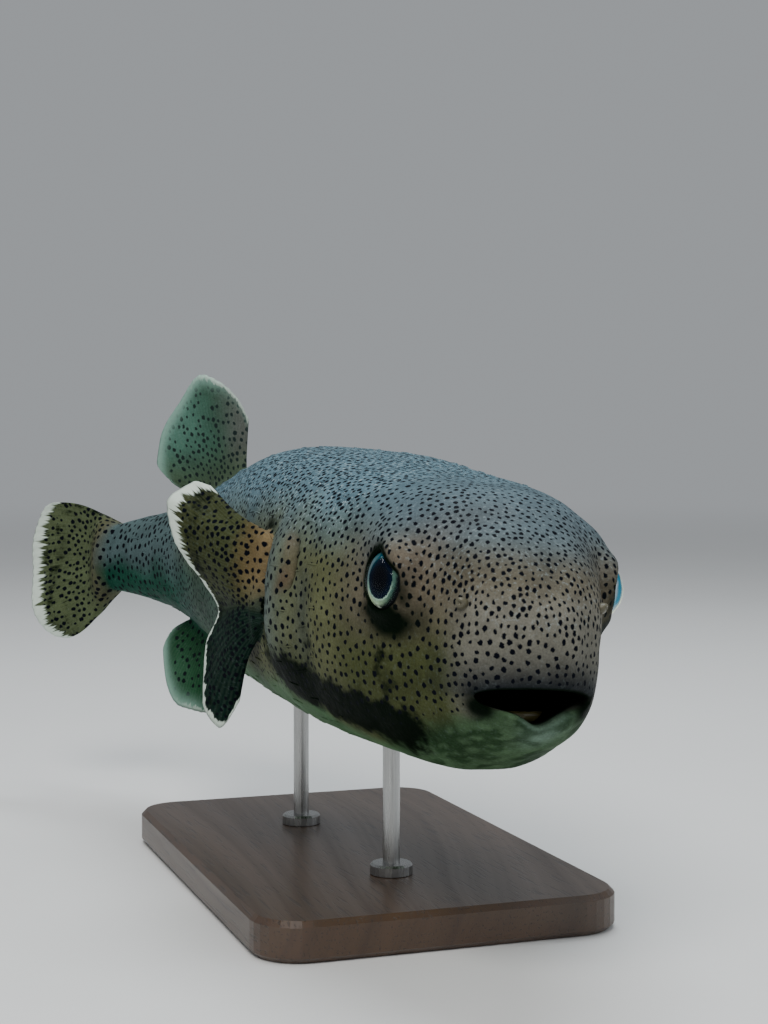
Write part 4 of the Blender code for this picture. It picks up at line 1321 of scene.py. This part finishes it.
def skin_material():
    n = Nodes("spotted skin")
    tone = n.attribute("tone", "Color")
    broad = n.vary(0.78, 1.22, 70.0, 4.0)
    grain = n.vary(0.84, 1.18, 1100.0, 2.0, 0.6)
    colour = n.mix(1.0, tone, n.times(broad, grain), "MULTIPLY")
    # painted highlights: pale glint specks on the back and upper face
    glint_specks = n.span(n.noise(640.0, 3.0), 0.54, 0.70)
    shown = n.span(n.attribute("glint"), 0.0, 1.0, 0.05, 0.75, smooth=False)
    colour = n.mix(n.times(glint_specks, shown), colour, GLINT)

    ray = n.add("ShaderNodeSeparateXYZ", {0: n.attribute("ray", "Vector")}, 0)
    parts = ray.node
    phase = n.times(parts.outputs[0], 4 * math.pi)
    comb = n.span(n.math("COSINE", phase), -1.0, 1.0, 0.0, 1.0, smooth=False)
    on_fin = parts.outputs[2]
    streak_at = n.add("ShaderNodeCombineXYZ", {0: parts.outputs[0], 1: parts.outputs[1]})
    streaks = n.noise(1.0, 2.0, at=n.vector("MULTIPLY", streak_at, (2.1, 1.2, 1.0)))
    hairs = n.noise(7.0, 3.0, at=n.vector("MULTIPLY", streak_at, (1.0, 0.35, 1.0)))
    hairs = n.times(n.span(hairs, 0.3, 0.7, -1.0, 1.0, smooth=False), on_fin)
    webbing = n.times(n.times(comb, on_fin), 0.06)
    colour = n.mix(webbing, colour, (0.17, 0.22, 0.16))

    cloud = n.vary(-0.54, 0.42, 110.0, 4.0, 0.62)
    blotch = n.math("ADD", n.attribute("dusk"), n.math("ADD", cloud, n.times(hairs, 0.22)))
    dusk = n.span(blotch, 0.24, 0.94)
    colour = n.mix(dusk, colour, DUSKY_AND_SHADE)
    spots = n.times(spot_mask(n), n.span(n.attribute("soft_rim"), 0.0, 1.0, 1.0, 0.35))
    colour = n.mix(spots, colour, SPOT)
    # painted shade: mouth edge and corners, sockets, gill opening, grooves, below the eyes and
    # nostrils
    uneven = n.vary(-0.06, 0.06, 220.0, 3.0)
    shade = n.span(n.math("ADD", n.attribute("shade"), uneven), 0.08, 1.0)
    colour = n.mix(shade, colour, DUSKY_AND_SHADE)
    colour = n.mix(n.times(n.attribute("soft_rim"), 0.85), colour, MEDIAN_MARGIN)
    ragged = n.span(streaks, 0.3, 0.7, -0.55, 0.55, smooth=False)
    ragged = n.math("ADD", ragged, n.times(hairs, 0.20))
    feather = n.math("ADD", n.attribute("rim"), ragged)
    margin = n.times(n.span(feather, 0.05, 0.38), n.attribute("pale_rim"))
    colour = n.mix(margin, colour, MARGIN)
    # painted shade: the mouth's inside is painted black
    colour = n.mix(n.attribute("inside"), colour, MOUTH_SHADE_BLACK)

    rough = n.vary(0.46, 0.60, 260.0, 3.0)
    pebble = n.add("ShaderNodeTexVoronoi", {"Vector": n.at, "Scale": 900.0}, "Distance")
    low = n.bump(n.noise(240.0, 4.0), 0.0009, 0.35)
    fine = n.bump(pebble, 0.00025, 0.30, low)
    dented = n.bump(spots, -0.00010, 0.5, fine)
    return n.finish(colour, rough, dented, Specular_IOR_Level=0.02)


def iris_material():
    """Black pupil, a pale finely rayed ring and a black outer rim, by place on the eye."""
    n = Nodes("iris")
    place = n.attribute("eye_place", "Vector")
    wobble = n.vary(-0.025, 0.025, 900.0, 3.0)
    forwards, up = PUPIL_SHIFT
    shifted = n.vector("SUBTRACT", place, (forwards / IRIS_RADIUS, up / IRIS_RADIUS, 0))
    radial = n.math("ADD", n.vector("LENGTH", shifted, output="Value"), wobble)
    from_middle = n.vector("LENGTH", place, output="Value")
    spoke_at = n.vector("NORMALIZE", shifted)
    spokes = n.span(n.noise(26.0, 4.0, at=spoke_at), 0.3, 0.7, 0.75, 1.15, smooth=False)
    parts = n.add("ShaderNodeSeparateXYZ", {0: place}, 0).node
    forward, upward = parts.outputs[0], parts.outputs[1]
    ring = n.mix(n.span(forward, -0.1, 0.85), (0.40, 0.46, 0.26), (0.080, 0.140, 0.100))
    corner = n.span(n.math("SUBTRACT", forward, upward), 0.85, 1.35)
    ring = n.mix(n.times(corner, n.span(from_middle, 0.80, 0.97)), ring, (0.02, 0.05, 0.03))
    rear = n.span(n.math("SUBTRACT", forward, n.times(upward, 0.5)), -0.85, -0.35, 1.0, 0.0)
    ring = n.mix(rear, ring, (0.11, 0.16, 0.17))
    ring = n.mix(n.span(upward, 0.50, 0.85), ring, (0.02, 0.13, 0.15))
    ring = n.mix(1.0, ring, spokes, "MULTIPLY")
    cloud = n.span(n.noise(520.0, 4.0), 0.50, 0.72)
    ring = n.mix(n.times(cloud, 0.40), ring, (0.12, 0.15, 0.08))
    pupil = PUPIL_RADIUS / IRIS_RADIUS
    round_pupil = n.span(radial, pupil, pupil + 0.07, 1.0, 0.0)
    gold = n.times(round_pupil, n.span(upward, -0.5, 0.1, 1.0, 0.0))
    ring = n.mix(gold, ring, (0.60, 0.66, 0.46))
    dark = n.span(radial, pupil - 0.03, pupil + 0.015, 1.0, 0.0)
    # painted reflection: a pale teal patch at the top of the pupil
    top_reflection = n.span(n.math("SUBTRACT", upward, forward), 0.75, 1.10)
    deep = n.mix(n.span(radial, 0.35, 0.72), (0.0005, 0.0007, 0.002), (0.001, 0.005, 0.016))
    pupil_tone = n.mix(top_reflection, deep, (0.006, 0.060, 0.070))
    colour = n.mix(dark, ring, pupil_tone)
    outer = n.span(n.math("ADD", from_middle, wobble), 0.86, 1.0)
    outer = n.times(outer, n.span(forward, -0.7, -0.1))
    colour = n.mix(outer, colour, (0.006, 0.007, 0.008))
    rough = n.vary(0.28, 0.40, 700.0)
    return n.finish(colour, rough, n.bump(spokes, 0.0001, 0.2), Specular_IOR_Level=0.02)


def cornea_material():
    """A clear wet cap: its reflection, a tint on what is behind it, and a painted pale rim of
    light.
    """
    n = Nodes("cornea")
    n.tree.nodes.remove(n.shader)
    ripples = n.bump(n.noise(160.0, 2.0), 0.0002, 0.06)
    shine = n.add("ShaderNodeBsdfGlossy", {"Roughness": 0.05, "Normal": ripples})
    facing = n.add("ShaderNodeLayerWeight", {0: 0.5}, 1)
    place = n.add("ShaderNodeSeparateXYZ", {0: n.attribute("eye_place", "Vector")}, 0).node
    forward, upward = place.outputs[0], place.outputs[1]
    ahead = n.span(forward, -0.15, 0.05)
    deep = n.times(n.span(facing, 0.30, 0.50), ahead)
    deep = n.times(deep, n.span(upward, -0.85, -0.35))
    depth = n.mix(deep, (0.92, 0.98, 1.0), (0.05, 0.40, 0.60))
    clear = n.add("ShaderNodeBsdfTransparent", {"Color": depth})
    mirror = n.math("MINIMUM", n.add("ShaderNodeFresnel", {"IOR": 1.16, "Normal": ripples}), 0.06)
    mixed = n.add("ShaderNodeMixShader", {0: mirror, 1: clear, 2: shine})
    # painted light: the pale diffuse rim at the cap's edge stands in for light refracted there
    tint = n.mix(n.noise(300.0), (0.80, 0.92, 0.84), (0.95, 0.96, 0.70))
    flesh = n.add("ShaderNodeBsdfDiffuse", {"Color": tint})
    rim = n.times(n.span(facing, 0.60, 0.82), n.span(upward, -0.5, 0.7, 1.0, 0.45))
    rim = n.times(rim, ahead)
    mixed = n.add("ShaderNodeMixShader", {0: rim, 1: mixed, 2: flesh})
    n.tree.links.new(mixed, n.tree.nodes["Material Output"].inputs["Surface"])
    return n.material


def tooth_material():
    n = Nodes("tooth plate")
    grow = n.noise(300.0, 4.0, at=n.vector("MULTIPLY", n.at, (0.4, 1.0, 2.2)))
    # the plates' own yellowish tone, darkened as painted shade inside the mouth
    colour = n.mix(grow, (0.19, 0.16, 0.05), (0.035, 0.030, 0.012))
    return n.finish(colour, n.vary(0.25, 0.42, 500.0), n.bump(grow, 0.0003, 0.4))


def oak_material():
    n = Nodes("dark oak")
    bend = n.noise(3.0, 2.0, at=n.vector("MULTIPLY", n.at, (1.0, 0.35, 1.0)))
    across = n.add("ShaderNodeSeparateXYZ", {0: n.at}, 0)
    rings = n.math("ADD", n.times(across, 60.0), n.times(bend, 14.0))
    figure = n.noise(1.0, 5.0, 0.62, at=n.add("ShaderNodeCombineXYZ", {0: rings}))
    figure = n.span(figure, 0.30, 0.70, smooth=False)
    pores = n.noise(900.0, 2.0, at=n.vector("MULTIPLY", n.at, (1.0, 0.05, 1.0)))
    pore = n.span(pores, 0.56, 0.66)
    colour = n.mix(figure, (0.074, 0.039, 0.019), (0.040, 0.021, 0.011))
    colour = n.mix(n.times(pore, 0.7), colour, (0.014, 0.008, 0.005))
    rough = n.span(figure, 0.0, 1.0, 0.34, 0.50, smooth=False)
    sunk = n.bump(pore, -0.0003, 0.5)
    return n.finish(colour, rough, sunk, Coat_Weight=0.25, Coat_Roughness=0.22)


def steel_material():
    n = Nodes("brushed steel")
    brushed = n.noise(1500.0, 3.0, at=n.vector("MULTIPLY", n.at, (1.0, 1.0, 0.02)))
    colour = n.mix(brushed, (0.42, 0.42, 0.41), (0.30, 0.30, 0.30))
    rough = n.span(brushed, 0.3, 0.7, 0.24, 0.36, smooth=False)
    return n.finish(colour, rough, n.bump(brushed, 0.00008, 0.5), Metallic=1.0)


def floor_material():
    n = Nodes("pale floor")
    tint = n.mix(n.noise(3.0, 2.0), (0.78, 0.78, 0.77), (0.74, 0.74, 0.73))
    n.finish(tint, n.vary(0.55, 0.62, 40.0), n.bump(n.noise(60.0), 0.0004, 0.2))
    haze = n.add("ShaderNodeEmission", {"Color": ROOM, "Strength": ROOM_LIGHT})
    far = n.span(n.vector("LENGTH", n.at, output="Value"), 1.2, 7.0)
    mixed = n.add("ShaderNodeMixShader", {0: far, 1: n.shader.outputs[0], 2: haze})
    n.tree.links.new(mixed, n.tree.nodes["Material Output"].inputs["Surface"])
    return n.material


# ---------------------------------------------------------------- eyes, nostrils, stand
# radius in iris radii and height in metres
IRIS_PROFILE = ((0.0, 0.0011), (0.5, 0.0011), (0.70, 0.0010), (0.78, 0.0008), (1.0, -0.0004),
                (1.05, -0.0012), (1.12, -0.0032))
EYE_SIDES, EYE_RINGS = 96, 40
# radius and height, metres
NOSTRIL_PROFILE = ((0.0, -0.0001), (0.0003, 0.0000), (0.0006, 0.0005), (0.0010, 0.0008),
                   (0.0015, 0.0007), (0.0019, 0.0002), (0.0023, -0.0008), (0.0027, -0.0024))
NOSTRIL_SIDES = 28


def turned_cap(name, profile, side):
    """A surface turned about the eye's axis from (radius, height) rows, with its eye_place."""
    rings = []
    shares = np.linspace(profile[0][0], profile[-1][0], EYE_RINGS)
    heights = curve(profile, 1, shares)
    angle = np.arange(EYE_SIDES) * 2 * math.pi / EYE_SIDES
    for share, height in zip(shares, heights):
        ring = share * np.cos(angle), share * np.sin(angle), height + 0 * angle
        rings.append(np.stack(ring, -1))
    place = np.array(rings).reshape(-1, 3)
    place[:, 2] -= np.clip(beyond_fold(place * (IRIS_RADIUS, IRIS_RADIUS, 1)) + 0.0006, 0, None)
    forward, up, out = eye_frame(side)
    centre = np.array(EYE_CENTRE) * (side, 1, 1)
    ahead = place[:, :1] * IRIS_RADIUS + IRIS_FORWARD
    local = centre + (ahead * forward + place[:, 1:2] * IRIS_RADIUS * up
                      + place[:, 2:] * out) / TOTAL_LENGTH
    mesh = raw_mesh(name, posed(local), ring_faces(EYE_RINGS, EYE_SIDES))
    set_attribute(mesh, "eye_place", "FLOAT_VECTOR", "POINT", place * (1, 1, 0))
    with editing(mesh) as edit:
        bmesh.ops.remove_doubles(edit, verts=edit.verts, dist=0.000001)
        bmesh.ops.recalc_face_normals(edit, faces=edit.faces)
        outward = Vector(posed(centre + out * 0.01) - posed(centre))
        if sum((face.normal for face in edit.faces), Vector()).dot(outward) < 0:
            bmesh.ops.reverse_faces(edit, faces=edit.faces)
    return new_object(name, mesh, "eye")


def build_eyes(iris, cornea):
    for side, word in SIDES:
        inner = [(share, IRIS_PLANE + height) for share, height in IRIS_PROFILE]
        disc = turned_cap(f"iris_{word}", inner, side)
        disc.data.materials.append(iris)
        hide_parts(f"eye_{word}")
        foot = IRIS_PLANE - 0.0003 - math.sqrt(CORNEA_CURVE**2 - CORNEA_EDGE**2)
        dome = [(radius / IRIS_RADIUS, foot + math.sqrt(CORNEA_CURVE**2 - radius**2))
                for radius in np.linspace(0, CORNEA_EDGE + 0.0006, 14)]
        turned_cap(f"cornea_{word}", dome, side).data.materials.append(cornea)


def build_nostrils(look):
    """A small fleshy cup with a raised rim on each side of the snout."""
    for side, word in SIDES:
        low, high = (np.array(corner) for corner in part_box(f"nostril_{word}"))
        centre = (low + high) / 2
        out = unit(turned(np.array([[side * 0.74, -0.66, 0.13]]), unposed(centre[None])))[0]
        across = unit(np.cross(out, (0, 0, 1)))
        up = np.cross(across, out)
        points = []
        for radius, height in NOSTRIL_PROFILE:
            for turn in range(NOSTRIL_SIDES):
                angle = 2 * math.pi * turn / NOSTRIL_SIDES
                reach = 1 + 0.10 * math.cos(2 * angle) + 0.05 * math.sin(3 * angle + side)
                lifted = height + 0.0005 * math.sin(angle) * (height > 0)
                points.append(centre + out * lifted + (across * math.cos(angle)
                              + up * math.sin(angle) * 1.05) * radius * reach)
        name = f"nostril_flap_{word}"
        faces = ring_faces(len(NOSTRIL_PROFILE), NOSTRIL_SIDES)
        piece = new_object(name, mesh_from(name, points, faces), "spotted_skin")
        smooth = piece.modifiers.new("smooth", "SUBSURF")
        smooth.levels = smooth.render_levels = 1
        piece.data.materials.append(look)
        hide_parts(f"nostril_{word}")


def flap_material():
    n = Nodes("nostril flesh")
    tint = n.mix(n.noise(800.0, 3.0), (0.110, 0.100, 0.060), (0.054, 0.048, 0.028))
    return n.finish(tint, n.vary(0.38, 0.5, 600.0), n.bump(n.noise(900.0), 0.0002, 0.3))


# ---------------------------------------------------------------- studio
def add_light(name, location, size, power, colour):
    data = bpy.data.lights.new(name, "AREA")
    data.shape = "DISK"
    data.size = size
    data.energy = power
    data.color = colour
    lamp = placed(name, data)
    lamp.location = location
    aim = Vector(LIT_POINT) - Vector(location)
    lamp.rotation_euler = aim.to_track_quat("-Z", "Y").to_euler()


def build_studio():
    far = FLOOR_HALF
    corners = [(-far, -far, 0), (far, -far, 0), (far, far, 0), (-far, far, 0)]
    mesh = raw_mesh("floor", corners, [(0, 1, 2, 3)])
    floor = placed("floor", mesh)
    floor.location.z = -FLOOR_DROP
    mesh.materials.append(floor_material())
    world = bpy.data.worlds.new("pale room")
    world.use_nodes = True
    background = world.node_tree.nodes["Background"]
    background.inputs["Color"].default_value = (*ROOM, 1.0)
    background.inputs["Strength"].default_value = ROOM_LIGHT
    bpy.context.scene.world = world
    for light in LIGHTS:
        add_light(*light)


def build_camera():
    data = bpy.data.cameras.new("camera")
    data.lens = CAMERA_LENS
    camera = placed("camera", data)
    camera.location = CAMERA_AT
    turn, dip = math.radians(CAMERA_AZIMUTH), math.radians(CAMERA_ELEVATION)
    flat = math.cos(dip)
    ahead = Vector((-math.sin(turn) * flat, math.cos(turn) * flat, -math.sin(dip)))
    camera.rotation_euler = ahead.to_track_quat("-Z", "Y").to_euler()
    bpy.context.scene.camera = camera


def dress(look, *names):
    """Gives a look to pieces that keep their own shape."""
    for name in names:
        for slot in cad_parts[name].material_slots:
            slot.material = look


def main():
    build_camera()
    build_studio()
    skin, fin, away = build_skin()
    marks = mark(points_of(skin.data), fin, away)
    put_marks(skin.data, marks)
    allowed = marks["spot_radius"] / marks["spot_radius"].max()
    spots = scatter(skin.data, marks["spacing"], allowed, SPOT_TRIES, SPOT_GAP, seed=3)
    put_spots(skin.data, spots)
    look = skin_material()
    skin.data.materials.clear()
    skin.data.materials.append(look)
    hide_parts("head", "trunk", "tail_stalk", "caudal_fin", "dorsal_fin", "anal_fin",
                "pectoral_fin_right", "pectoral_fin_left")
    build_spines(skin, marks, spots).data.materials.append(look)
    build_eyes(iris_material(), cornea_material())
    build_nostrils(flap_material())
    dress(tooth_material(), "upper_tooth_plate", "lower_tooth_plate")
    dress(oak_material(), "stand_base")
    dress(steel_material(), "stand_rod_front", "stand_rod_rear")


main()
